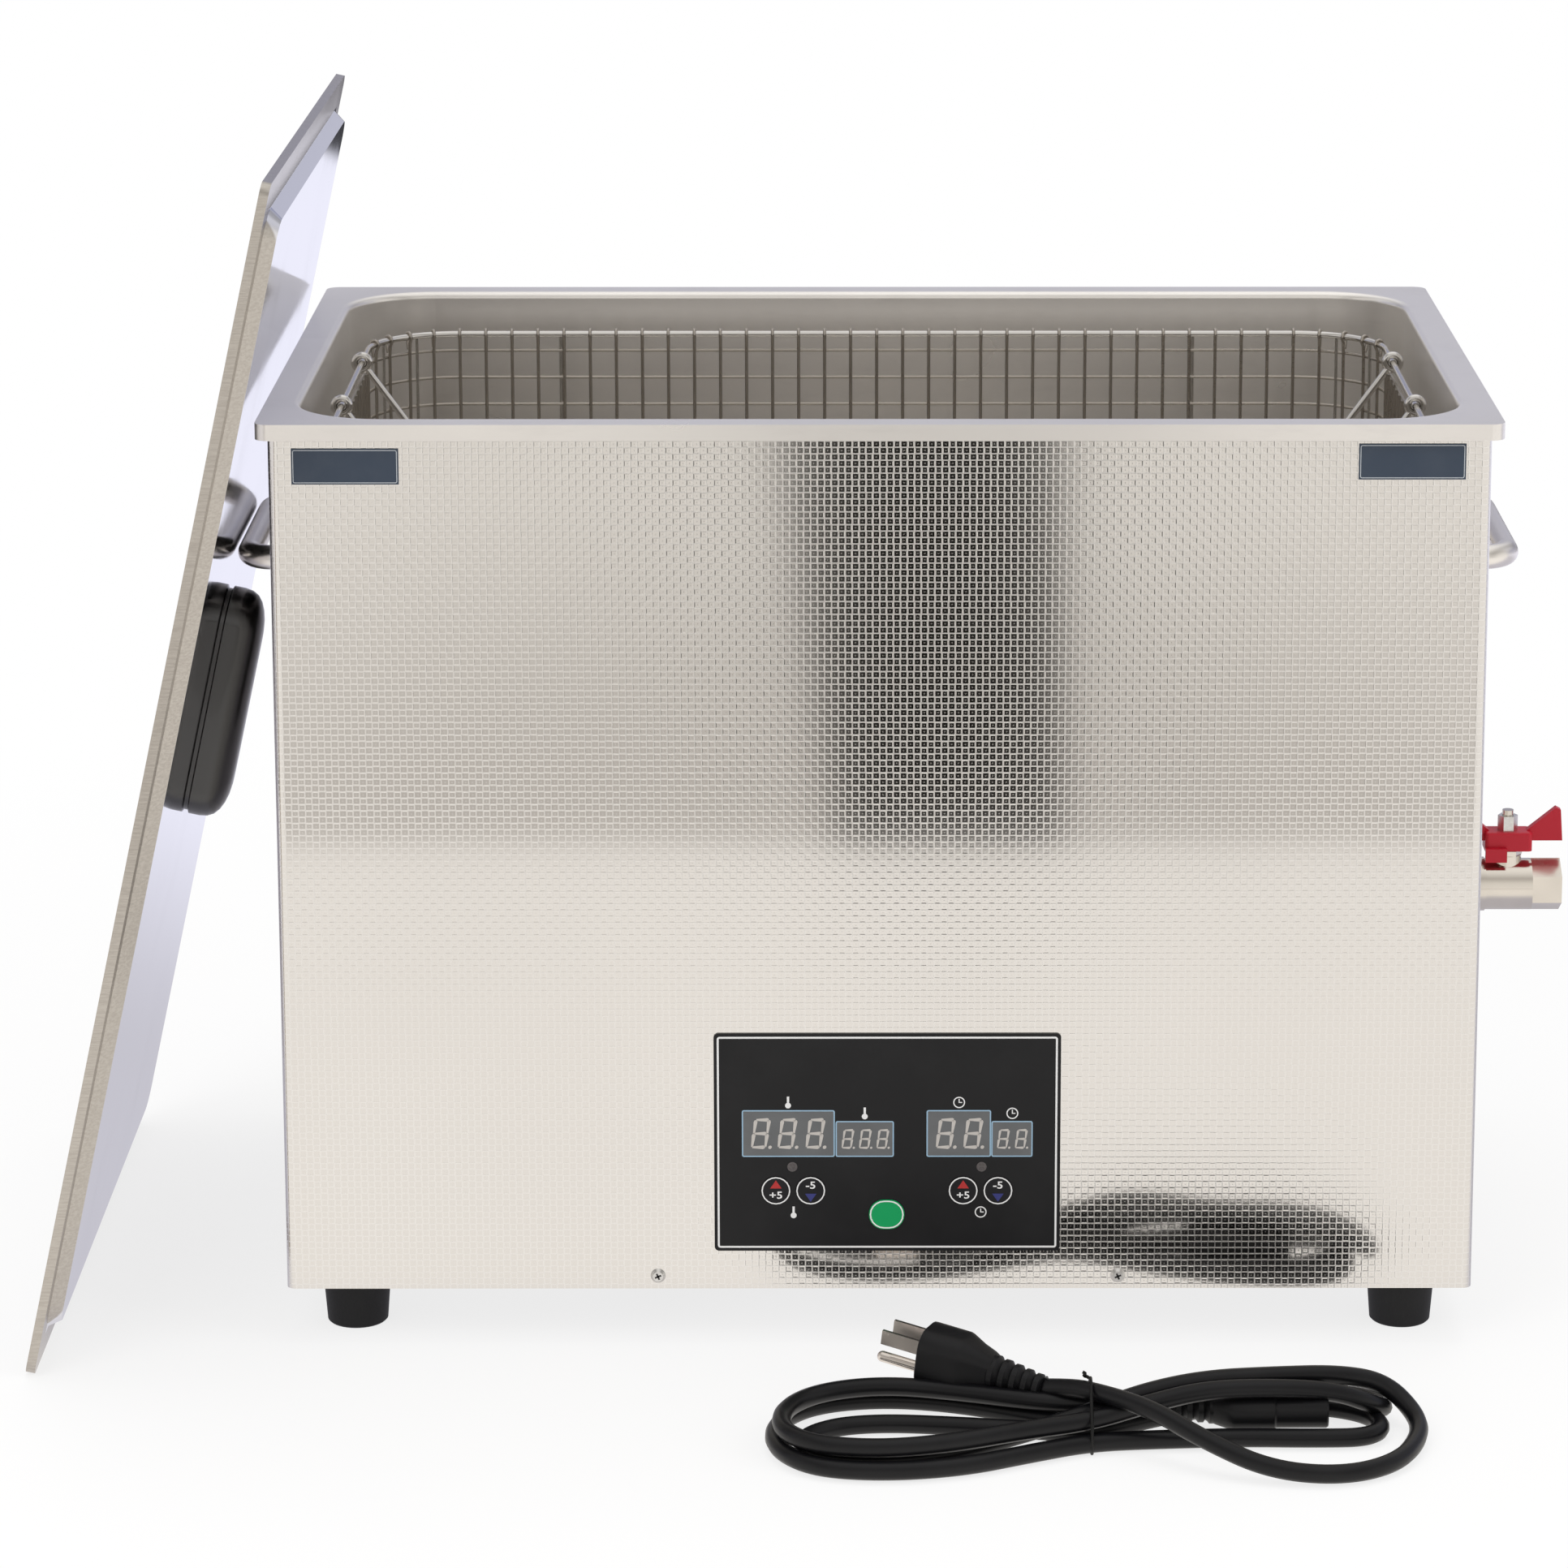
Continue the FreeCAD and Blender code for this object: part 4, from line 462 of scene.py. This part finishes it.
def tablet(shape, length, height, corner, steps=5):
    """A flat rectangle with round corners in the XY plane, in millimetres; returns its face."""
    made = bmesh.ops.create_grid(shape, x_segments=1, y_segments=1, size=0.5)
    bmesh.ops.scale(shape, vec=(length * MM, height * MM, 1), verts=made["verts"])
    corners = made["verts"]
    if corner:
        rounded = bmesh.ops.bevel(
            shape, geom=corners, offset=corner * MM, affect="VERTICES", segments=steps, profile=0.5, material=-1
        )
        corners = rounded["verts"]
    return corners[0].link_faces[0]


def band(shape, length, height, corner, line):
    """A flat line of some width round a rectangle with round corners."""
    face = tablet(shape, length, height, corner)
    bmesh.ops.inset_region(shape, faces=[face], thickness=line * MM, use_even_offset=True, use_boundary=True)
    bmesh.ops.delete(shape, geom=[face], context="FACES")


def stretched(shape, face, sections):
    """Pulls a face out into a solid through sections of (distance, width factor, height factor) along Z."""
    levels = []
    for distance, wide, high in sections:
        pulled = bmesh.ops.extrude_face_region(shape, geom=[face])
        verts = [item for item in pulled["geom"] if isinstance(item, bmesh.types.BMVert)]
        face = next(item for item in pulled["geom"] if isinstance(item, bmesh.types.BMFace))
        levels.append(face)
        bmesh.ops.translate(shape, vec=(0, 0, distance * MM), verts=verts)
        bmesh.ops.scale(shape, vec=(wide, high, 1), verts=verts)
    bmesh.ops.delete(shape, geom=levels[:-1], context="FACES_ONLY")


def add(target, source, place):
    """Adds one bmesh to another at a place, and frees it."""
    source.transform(place)
    mesh = bpy.data.meshes.new("part")
    source.to_mesh(mesh)
    source.free()
    target.from_mesh(mesh)
    bpy.data.meshes.remove(mesh)


def spot(x, y, z):
    return Matrix.Translation(Vector((x, y, z)) * MM)


def upright(x, y, z):
    """From a drawing in the XY plane to the front of the cleaner, facing the user."""
    return spot(x, y, z) @ Matrix.Rotation(math.pi / 2, 4, "X")


def lettering(text, size, place, wide=1.2):
    """Bold, wide printed characters as a bmesh."""
    words = bpy.data.curves.new("words", "FONT")
    words.body = text
    words.size = size * MM
    words.align_x = "CENTER"
    words.align_y = "CENTER"
    words.resolution_u = 3
    words.offset = 0.016 * size * MM
    holder = bpy.data.objects.new("words", words)
    mesh = bpy.data.meshes.new_from_object(holder)
    shape = bmesh.new()
    shape.from_mesh(mesh)
    shape.transform(place @ Matrix.Scale(wide, 4, (1, 0, 0)))
    bpy.data.objects.remove(holder)
    bpy.data.curves.remove(words)
    bpy.data.meshes.remove(mesh)
    return shape


# ---- detached mains cord --------------------------------------------------------------------------------------------

ROUTE = [
    (119, -258, 11), (104, -259, 12), (88, -260.5, 12.6), (66, -258, 13), (34, -247, 13), (2, -240, 13.2),
    (-26, -248, 13.2), (-41, -266, 13), (-42, -288, 12.8), (-28, -304, 12.6), (0, -309, 12.8), (30, -303, 13),
    (60, -289, 12.8), (88, -278, 12.3), (112, -273, 18), (136, -270, 23), (165, -268, 23), (191, -264, 20),
    (207, -260, 12.5), (215, -247, 5.2), (207, -232, 4.6), (188, -228.5, 4.6), (160, -231, 4.6), (126, -243, 4.6),
    (88, -264.5, 4.6), (62, -253, 4.6), (30, -239, 4.6), (0, -234, 4.6), (-28, -241, 4.6), (-44, -260, 4.6),
    (-45, -286, 4.6), (-30, -308, 4.6), (0, -313.5, 4.6), (34, -308, 4.6), (62, -294, 4.6), (88, -282, 4.6),
    (118, -279, 4.6), (150, -277, 4.6), (182, -278, 4.6), (205, -277, 4.6), (212, -264, 4.6), (204, -250, 4.6),
    (184, -242, 4.6), (150, -240, 4.6), (120, -253, 4.6), (88, -273, 4.6), (64, -269, 4.6), (30, -264, 4.6),
    (0, -261, 4.6), (-22, -266, 4.6), (-34, -280, 4.6), (-30, -297, 4.6), (-8, -304, 4.6), (22, -300, 4.8),
    (56, -284, 8), (88, -269, 12.5), (110, -263, 19), (136, -260, 23.6), (165, -257, 24), (194, -250, 22),
    (214, -246, 16.5), (226, -256, 6.5), (226, -276, 4.6), (214, -304, 4.6), (190, -318, 4.6), (160, -315, 6),
    (134, -303, 14), (112, -286, 21.5), (88, -268, 22), (78, -259, 19.5), (69, -253, 17),
]


def make_cord():
    """The cord in its hank, the tie round it, its plug and its connector."""
    curve = bpy.data.curves.new("mains_cord", "CURVE")
    curve.dimensions = "3D"
    curve.bevel_depth = 4 * MM
    curve.bevel_resolution = 4
    curve.resolution_u = 9
    spline = curve.splines.new("NURBS")
    spline.points.add(len(ROUTE) - 1)
    for point, place in zip(spline.points, ROUTE):
        point.co = (*(Vector(place) * MM), 1)
    spline.order_u = 3
    spline.use_endpoint_u = True
    curve.materials.append(FINISHES["cord_rubber"])
    cord = settle(bpy.data.objects.new("mains_cord", curve), "cleaner", ["cord_hank"])
    tie = make_tie()
    plug = make_plug()
    connector = make_connector()


def make_tie():
    """A thin tie round the middle of the hank, its twisted ends standing up."""
    low, high, front, back = 0.9, 26.4, -287.2, -257.2
    around = [(front, 4), (front + 2, low), (back - 3, low), (back, 4), (back, 14), (-261, 23), (-266, high + 0.3)]
    around += [(-271, high), (-280, 18), (front + 2, 13), (front, 4)]
    loop = [(88, y, z) for y, z in around]
    twist = []
    for step in range(7):
        turn = step * 1.3
        twist.append((87 - step * 0.35 + 0.7 * math.cos(turn), -262 + 0.5 * math.sin(turn), 25 + step * 0.42))
    plastic = FINISHES["tie_plastic"]
    return wires("twist_tie", [loop, twist], 0.75, plastic, "cleaner", "tie_plastic", "cord_tie", sides=2)


def ribbed(shape, start, end, thin, thick, ribs):
    """A tapered sleeve with ribs round it, along Z."""
    profile = [(0, start), (thin, start)]
    pitch = (end - start) / ribs
    for rib in range(ribs):
        low = start + rib * pitch
        radius = thin + (thick - thin) * (rib + 0.5) / ribs
        profile += [(radius - 1.1, low + 0.12 * pitch), (radius, low + 0.30 * pitch), (radius, low + 0.75 * pitch)]
        profile += [(radius - 1.1, low + 0.93 * pitch)]
    profile += [(thick - 1, end), (0, end)]
    lathe(shape, profile, 24)


def make_plug():
    """The plug: ribbed sleeve, sloping shoulders and a square-fronted body with its long edges rounded."""
    along = Vector((-0.905, 0.405, 0.13)).normalized()
    across = Vector((-0.405, -0.905, 0)).normalized()
    high = along.cross(across)
    turned = Matrix((
        (across.x, high.x, along.x, 0.069), (across.y, high.y, along.y, -0.253), (across.z, high.z, along.z, 0.017),
        (0, 0, 0, 1),
    ))
    plug = bmesh.new()
    sleeve = bmesh.new()
    ribbed(sleeve, 0, 25, 5.2, 8.2, 5)
    add(plug, sleeve, Matrix())
    body = bmesh.new()
    face = tablet(body, 13, 15, 4.5, 4)
    bmesh.ops.translate(body, vec=(0, 0, 23 * MM), verts=body.verts)
    stretched(body, face, [
        (2, 1.15, 1.12), (5, 1.12, 1.20), (6, 1.30, 1.24), (1.5, 1.04, 1.03), (15.5, 1.0, 1.0), (1.6, 0.99, 0.99),
        (0.4, 0.96, 0.96),
    ])
    add(plug, body, Matrix())
    plug.transform(turned)
    return piece("plug_body", plug, FINISHES["plug_plastic"], "cleaner", "plug_plastic", "mains_plug")


def make_connector():
    """The connector: ribbed sleeve, a shoulder and the flat nose that goes into the inlet."""
    turned = Matrix(((0, 0, 1, 0.1182), (1, 0, 0, -0.258), (0, 1, 0, 0.011), (0, 0, 0, 1)))
    connector = bmesh.new()
    sleeve = bmesh.new()
    ribbed(sleeve, 0, 23.5, 5.2, 7.8, 5)
    add(connector, sleeve, Matrix())
    body = bmesh.new()
    face = tablet(body, 14, 12.5, 4.5, 4)
    bmesh.ops.translate(body, vec=(0, 0, 21 * MM), verts=body.verts)
    stretched(body, face, [
        (2, 1.2, 1.1), (4, 1.35, 1.12), (3, 1.16, 1.02), (17, 1.0, 1.0), (1, 0.93, 0.93), (21, 1.0, 1.0),
        (0.8, 0.95, 0.95),
    ])
    add(connector, body, Matrix())
    connector.transform(turned)
    return piece(
        "connector_body", connector, FINISHES["plug_plastic"], "cleaner", "plug_plastic", "appliance_connector"
    )


# ---- wire basket ----------------------------------------------------------------------------------------------------

HALF_LENGTH, HALF_WIDTH, CORNER = 238.5, 122, 40
FLOOR_HEIGHT, PITCH = 226, 12.4


def ring(height, grow=0.0):
    """One closed turn round the basket, a little larger than its rim where grow is above nothing."""
    points = []
    for quarter in range(4):
        turn = quarter * math.pi / 2
        across = (1 if quarter in (0, 3) else -1) * (HALF_LENGTH - CORNER)
        along = (1 if quarter in (0, 1) else -1) * (HALF_WIDTH - CORNER)
        for step in range(9):
            angle = turn + step * math.pi / 16
            reach = CORNER + grow
            points.append((across + reach * math.cos(angle), along + reach * math.sin(angle), height))
    return points + points[:1]


def stations():
    """Where the upright wires stand: points on the rim line with the direction that is outwards there."""
    long_run, short_run = HALF_LENGTH - CORNER, HALF_WIDTH - CORNER
    found = []
    for number in range(-16, 17):
        for side in (-1, 1):
            found.append(((number * PITCH, side * HALF_WIDTH), (0, side)))
    for number in range(-6, 7):
        for side in (-1, 1):
            found.append(((side * HALF_LENGTH, number * PITCH), (side, 0)))
    for across in (-1, 1):
        for along in (-1, 1):
            for step in range(1, 5):
                angle = math.radians(18 * step)
                out = (across * math.cos(angle), along * math.sin(angle))
                found.append(((across * long_run + CORNER * out[0], along * short_run + CORNER * out[1]), out))
    return found


def make_basket():
    """Woven wire: uprights hooked over the rim, turns round them, and the floor's two layers."""
    uprights = []
    for (x, y), (out_x, out_y) in stations():

        def point(offset, height):
            return (x + out_x * offset, y + out_y * offset, height)

        run = [point(-0.5, FLOOR_HEIGHT), point(-0.5, 391)]
        if abs(out_x) < 1:
            run += [point(-0.9, 396), point(-2.1, 398.6), point(-1.4, 400.7), point(0, 401.2), point(1.4, 400.7)]
            run += [point(2.1, 398.8), point(1.2, 396.6), point(0.6, 393)]
        uprights.append(run)
    wires("basket_uprights", uprights, 0.75, FINISHES["mesh_wire"], "basket", "mesh_wire", "basket_mesh")
    turns = [ring(391 - 13 * number, 0.5) for number in range(13)]
    wires("basket_turns", turns, 0.75, FINISHES["mesh_wire"], "basket", "mesh_wire")
    floor = []
    for number in range(-9, 10):
        y = number * PITCH
        beyond = max(0.0, abs(y) - (HALF_WIDTH - CORNER))
        reach = HALF_LENGTH - CORNER + math.sqrt(max(0.0, CORNER**2 - beyond**2)) - 0.5
        floor.append([(-reach, y, 225.2), (reach, y, 225.2)])
    for number in range(-18, 19):
        x = number * PITCH
        beyond = max(0.0, abs(x) - (HALF_LENGTH - CORNER))
        reach = HALF_WIDTH - CORNER + math.sqrt(max(0.0, CORNER**2 - beyond**2)) - 0.5
        floor.append([(x, -reach, 226.3), (x, reach, 226.3)])
    wires("basket_floor_wires", floor, 0.6, FINISHES["mesh_wire"], "basket", "mesh_wire")


# ---- marks on the control panel -------------------------------------------------------------------------------------

PANEL_X, PANEL_Z = 3.4, 93.5
PANEL_FACE, KEY_FACE = -160.84, -161.34
WINDOWS = [(-43.1, 4.2, 39.5, 20.4), (-9.8, 1.7, 24.4, 15.4), (31.2, 4.2, 27.1, 20.4), (54.4, 1.7, 17, 15.4)]
DIGITS = [
    (-55.2, 4.2, 14), (-43.6, 4.2, 14), (-31.4, 4.2, 14), (-17.2, 1.7, 9), (-9.6, 1.7, 9), (-2.0, 1.7, 9),
    (25.4, 4.2, 14), (37.4, 4.2, 14), (50.6, 1.7, 9), (58.4, 1.7, 9),
]
HEAT_SIGNS = [(-43.2, 18.5), (-9.8, 13.5), (-40.9, -31.9)]
TIME_SIGNS = [(31.3, 18.4), (54.5, 13.4), (40.9, -31.9)]


def on_panel(x, z, face=PANEL_FACE):
    return upright(PANEL_X + x, face, PANEL_Z + z)


def bar(shape, length, thick, x, y, turned):
    """One segment of a digit: a long hexagon."""
    made = bmesh.ops.create_circle(shape, segments=6, radius=thick / math.sqrt(3) * MM, cap_ends=True)
    for vert in made["verts"]:
        vert.co.x += math.copysign(length / 2 - thick / 2, vert.co.x) * MM
    turn = Matrix.Rotation(math.pi / 2, 4, "Z") if turned else Matrix()
    bmesh.ops.transform(shape, matrix=spot(x, y, 0) @ turn, verts=made["verts"])


def digit(height):
    """A slanted seven-segment digit with its point, all unlit."""
    shape = bmesh.new()
    width, thick = height * 0.52, height * 0.105
    half = height / 2 - thick / 2
    for up in (-half, 0, half):
        bar(shape, width - thick * 1.2, thick, 0, up, False)
    for across in (-width / 2 + thick / 2, width / 2 - thick / 2):
        for up in (-half / 2, half / 2):
            bar(shape, half - thick * 0.2, thick, across, up, True)
    dot = bmesh.ops.create_circle(shape, segments=12, radius=thick * 0.55 * MM, cap_ends=True)
    bmesh.ops.translate(shape, vec=((width / 2 + thick * 0.9) * MM, -half * MM, 0), verts=dot["verts"])
    shape.transform(Matrix(((1, 0.14, 0, 0), (0, 1, 0, 0), (0, 0, 1, 0), (0, 0, 0, 1))))
    return shape


def stroke(shape, start, end, thick):
    """A printed line between two points of a drawing, in millimetres."""
    run = Vector((end[0] - start[0], end[1] - start[1], 0))
    made = bmesh.ops.create_grid(shape, x_segments=1, y_segments=1, size=0.5)
    bmesh.ops.scale(shape, vec=((run.length + thick) * MM, thick * MM, 1), verts=made["verts"])
    turn = Matrix.Rotation(math.atan2(run.y, run.x), 4, "Z")
    middle = ((start[0] + end[0]) / 2, (start[1] + end[1]) / 2, 0)
    bmesh.ops.transform(shape, matrix=spot(*middle) @ turn, verts=made["verts"])


def thermometer(shape):
    """A plain sign for temperature: a stem over a bulb."""
    bulb = bmesh.ops.create_circle(shape, segments=24, radius=1.3 * MM, cap_ends=True)
    bmesh.ops.translate(shape, vec=(0, -1.5 * MM, 0), verts=bulb["verts"])
    stroke(shape, (0, 0.3), (0, 2.1), 1.0)


def clock(shape):
    """A plain sign for time: a dial with two hands."""
    band(shape, 5.2, 5.2, 2.59, 0.5)
    stroke(shape, (0, 0), (0, 1.4), 0.45)
    stroke(shape, (0.5, 0), (1.1, 0), 0.45)


def make_panel_marks():
    """Border, plain signs, window frames and digits, as thin printed layers on the panel's face."""
    white = bmesh.new()
    border = bmesh.new()
    band(border, 148.2, 96.7, 1.2, 0.85)
    add(white, border, on_panel(0, 0))
    for draw, places in ((thermometer, HEAT_SIGNS), (clock, TIME_SIGNS)):
        for x, z in places:
            sign = bmesh.new()
            draw(sign)
            add(white, sign, on_panel(x, z))
    piece("panel_marks", white, INKS["white_ink"], "cleaner", "black_panel", flat=True)
    lines = bmesh.new()
    for x, z, length, height in WINDOWS:
        outline = bmesh.new()
        band(outline, length + 1.0, height + 1.0, 0.9, 0.55)
        add(lines, outline, on_panel(x, z))
    piece("window_lines", lines, INKS["pale_line"], "cleaner", "black_panel", flat=True)
    digits = bmesh.new()
    for x, z, height in DIGITS:
        add(digits, digit(height), on_panel(x, z))
    piece("display_digits", digits, INKS["segment_grey"], "cleaner", "display_lens", flat=True)


def make_key_marks():
    """A white ring on every key, with its step and an arrow on the round ones."""
    keys = [
        ("temperature_up", -48.6, True), ("temperature_down", -33.4, False), ("timer_up", 33.2, True),
        ("timer_down", 48.4, False),
    ]
    for name, x, raises in keys:
        z = -21.9
        marks = bmesh.new()
        outline = bmesh.new()
        band(outline, 12.6, 12.6, 6.29, 0.55)
        add(marks, outline, on_panel(x, z, KEY_FACE))
        step = "+5" if raises else "-5"
        add(marks, lettering(step, 4.6, Matrix()), on_panel(x, z + (-2.2 if raises else 2.4), KEY_FACE))
        piece(f"{name}_key_ring", marks, INKS["white_ink"], f"{name}_key", "key_black", flat=True)
        arrow = bmesh.new()
        bmesh.ops.create_circle(arrow, segments=3, radius=2.9 * MM, cap_ends=True)
        arrow.transform(Matrix.Scale(0.85, 4, (0, 1, 0)) @ Matrix.Rotation(0 if raises else math.pi, 4, "Z"))
        arrow.transform(on_panel(x, z + (2.3 if raises else -2.6), KEY_FACE))
        ink = INKS["red_ink"] if raises else INKS["blue_ink"]
        piece(f"{name}_key_arrow", arrow, ink, f"{name}_key", "key_black", flat=True)
    outline = bmesh.new()
    band(outline, 14.8, 12.8, 6.3, 0.6)
    outline.transform(on_panel(-0.2, -32.9, KEY_FACE))
    piece("start_key_ring", outline, INKS["white_ink"], "start_key", "key_green", flat=True)


# ---- lid's handle ---------------------------------------------------------------------------------------------------


def make_lid_handle():
    """A moulded loaf: a narrow foot, straight sides and a domed top with round ends."""
    rise, run = math.cos(LID_LEAN), math.sin(LID_LEAN)
    turned = Matrix((
        (run, 0, rise, LID_MIDDLE.x), (0, -1, 0, LID_MIDDLE.y), (rise, 0, -run, LID_MIDDLE.z), (0, 0, 0, 1),
    ))
    loaf = bmesh.new()
    face = tablet(loaf, 105, 29, 14.4, 10)
    bmesh.ops.translate(loaf, vec=(0, 0, 9.52 * MM), verts=loaf.verts)
    stretched(loaf, face, [
        (0.8, 1.0, 1.0), (0.7, 1.026, 1.09), (5.0, 1.0, 1.0), (3.5, 0.99, 0.975), (2.8, 0.972, 0.925),
        (2.2, 0.95, 0.85), (1.6, 0.93, 0.78), (1.1, 0.91, 0.70), (0.6, 0.88, 0.55), (0.15, 0.6, 0.3),
    ])
    loaf.transform(turned)
    piece("lid_grip", loaf, FINISHES["black_bakelite"], "lid", "black_bakelite", "lid_handle")


# ---- small plates ---------------------------------------------------------------------------------------------------


def make_plate_marks():
    """Thin borders on the two bare plates."""
    marks = bmesh.new()
    for x, z in PLATES:
        outline = bmesh.new()
        band(outline, 44.3, 14.3, 0.8, 0.3)
        add(marks, outline, upright(x, PLATE_FACE, z))
    piece("plate_marks", marks, INKS["plate_ink"], "cleaner", "label_blue", flat=True)


# ---- feet and screws ------------------------------------------------------------------------------------------------


def make_feet():
    """Rubber feet: rounded soles, a shallow step at the top and a recess for the screw."""
    profile = [(0, 14), (6.4, 14), (6.4, 1), (7.2, 0.1), (12.6, 0.1), (13.4, 0.9), (15.2, 24.2), (15.5, 25.2)]
    profile += [(15.3, 25.9), (0, 25.9)]
    feet = bmesh.new()
    for x in (-FOOT_X, FOOT_X):
        for y in (-FOOT_Y, FOOT_Y):
            foot = bmesh.new()
            lathe(foot, profile, 40)
            add(feet, foot, spot(x, y, 0))
    piece("foot_rubbers", feet, FINISHES["black_rubber"], "cleaner", "black_rubber", "rubber_feet")


def make_screw_recess_shades():
    """Painted shade: flat black crosses in the heads of the casing's screws, where their cross recesses lie in shade.
    """
    crosses = bmesh.new()
    head = 161.63
    places = [(x, -head, 32) for x in (-97, 104.6)]
    places += [(x, head, z) for x in (-250, 250) for z in (60, 220, 380)]
    for x, y, z in places:
        outwards = Matrix.Rotation(math.pi if y > 0 else 0, 4, "Z") @ Matrix.Rotation(math.pi / 2, 4, "X")
        for length, height in ((3, 0.8), (0.8, 3)):
            slot = bmesh.new()
            tablet(slot, length, height, 0)
            add(crosses, slot, spot(x, y, z) @ outwards @ Matrix.Rotation(0.4, 4, "Z"))
    piece("screw_recess_shades", crosses, INKS["painted_recess_shade"], "cleaner", "plated_steel", flat=True)


# ---- studio ---------------------------------------------------------------------------------------------------------


def make_floor():
    """A pale floor that keeps the cleaner's shadow; in its mirror image it is grey far in front, with a dark bar."""
    shape = bmesh.new()
    bmesh.ops.create_grid(shape, x_segments=1, y_segments=1, size=9)
    mesh = bpy.data.meshes.new("studio_floor")
    shape.to_mesh(mesh)
    shape.free()
    finish = Finish("studio_floor")
    x, y, _ = finish.split(finish.place())
    away = 0 - y - 0.94
    beyond = away.ease(-0.02, 0.03)
    left = (x + 0.022 + away * 0.0438).ease(-0.02, 0.02)
    right = (x - 0.112 - away * 0.04).ease(-0.015, 0.015, 1.0, 0.0)
    behind = y.ease(-0.25, -0.1)
    far = finish.mix(away.ease(0.0, 1.1), (0.56, 0.53, 0.50), (0.86, 0.83, 0.79))
    far = finish.mix(x.size().ease(0.25, 0.7), far, (0.95, 0.92, 0.885))
    mirrored = finish.mix(beyond, (0.97, 0.94, 0.905), far)
    mirrored = finish.mix(behind, mirrored, (0.58, 0.57, 0.63))
    mirrored = finish.mix(y.ease(0.2, 0.75), mirrored, (0.88, 0.88, 1.0))
    mirrored = finish.mix(y.ease(2.75, 2.85), mirrored, (0.04, 0.04, 0.045))
    mirrored = finish.mix(beyond * left * right, mirrored, (0.012, 0.011, 0.010))
    rays = finish.node("LightPath")
    seen = Amount(finish, rays.outputs["Is Camera Ray"])
    shiny = Amount(finish, rays.outputs["Is Glossy Ray"])
    clear = Amount(finish, rays.outputs["Is Transmission Ray"])
    colour = finish.mix(seen.larger(clear), mirrored, (1.0, 1.0, 1.0))
    glow = Amount(finish, finish.node("Emission", None, {"Color": colour, "Strength": 1.0}).outputs[0])
    matt = Amount(finish, finish.node("BsdfDiffuse", None, {"Color": (0.9, 0.9, 0.9)}).outputs[0])
    away_from_it = (x * x + y * y).ease(0.25, 1.0, 0.78, 1.0)
    share = (seen.larger(clear) * away_from_it).larger(shiny)
    mixed = finish.node("MixShader", None, {0: share, 1: matt, 2: glow})
    finish.out(Amount(finish, mixed.outputs[0]))
    mesh.materials.append(finish.holder)
    floor = bpy.data.objects.new("studio_floor", mesh)
    bpy.context.scene.collection.objects.link(floor)


def make_world():
    """White behind the floor; what the metal mirrors is warm in front, lavender grey behind and white overhead."""
    world = bpy.data.worlds.new("studio")
    bpy.context.scene.world = world
    finish = Finish("studio", world)
    across, back, up = finish.split(Amount(finish, finish.node("TexCoord").outputs["Generated"]))
    overhead = (1.0, 0.99, 0.97)
    before = [(0.0, (0.88, 0.86, 0.83)), (0.3, (0.80, 0.78, 0.75)), (0.6, (0.50, 0.48, 0.46)), (1.0, overhead)]
    after = [(0.0, (0.70, 0.70, 0.78)), (0.2, (0.30, 0.31, 0.42)), (0.45, (0.60, 0.60, 0.64)), (1.0, overhead)]
    front_sky = Amount(finish, finish.node("ValToRGB", {"stops": before}, {0: up}).outputs[0])
    back_sky = Amount(finish, finish.node("ValToRGB", {"stops": after}, {0: up}).outputs[0])
    sky = finish.mix(back.ease(-0.15, 0.25), front_sky, back_sky)
    gap = (across.size() - 0.6).size().ease(0.07, 0.2, 0.4, 0.0)
    sky = finish.mix(gap, sky, (0.10, 0.09, 0.08))
    rays = finish.node("LightPath")
    seen = Amount(finish, rays.outputs["Is Camera Ray"]).larger(Amount(finish, rays.outputs["Is Transmission Ray"]))
    colour = finish.mix(seen, sky, (1.0, 1.0, 1.0))
    finish.out(Amount(finish, finish.node("Background", None, {"Color": colour, "Strength": 1.0}).outputs[0]))


def make_lamp(name, power, side, place, target):
    """A square soft lamp that looks at a point."""
    lamp = bpy.data.lights.new(name, "AREA")
    lamp.energy = power
    lamp.size = side
    holder = bpy.data.objects.new(name, lamp)
    holder.location = place
    holder.rotation_euler = (Vector(target) - Vector(place)).to_track_quat("-Z", "Y").to_euler()
    holder.visible_glossy = False
    bpy.context.scene.collection.objects.link(holder)


def make_studio():
    scene = bpy.context.scene
    scene.view_settings.view_transform = "Standard"
    make_world()
    make_floor()
    make_lamp("front_lamp", 22, 1.6, (-1.3, -1.9, 1.9), (0, 0, 0.25))
    make_lamp("side_lamp", 12, 1.4, (1.9, -1.0, 1.5), (0, 0, 0.25))
    make_lamp("top_lamp", 16, 1.6, (0.1, 0.3, 2.2), (0, 0, 0.2))


make_cord()
make_basket()
make_panel_marks()
make_key_marks()
make_lid_handle()
make_plate_marks()
make_feet()
make_screw_recess_shades()
make_studio()
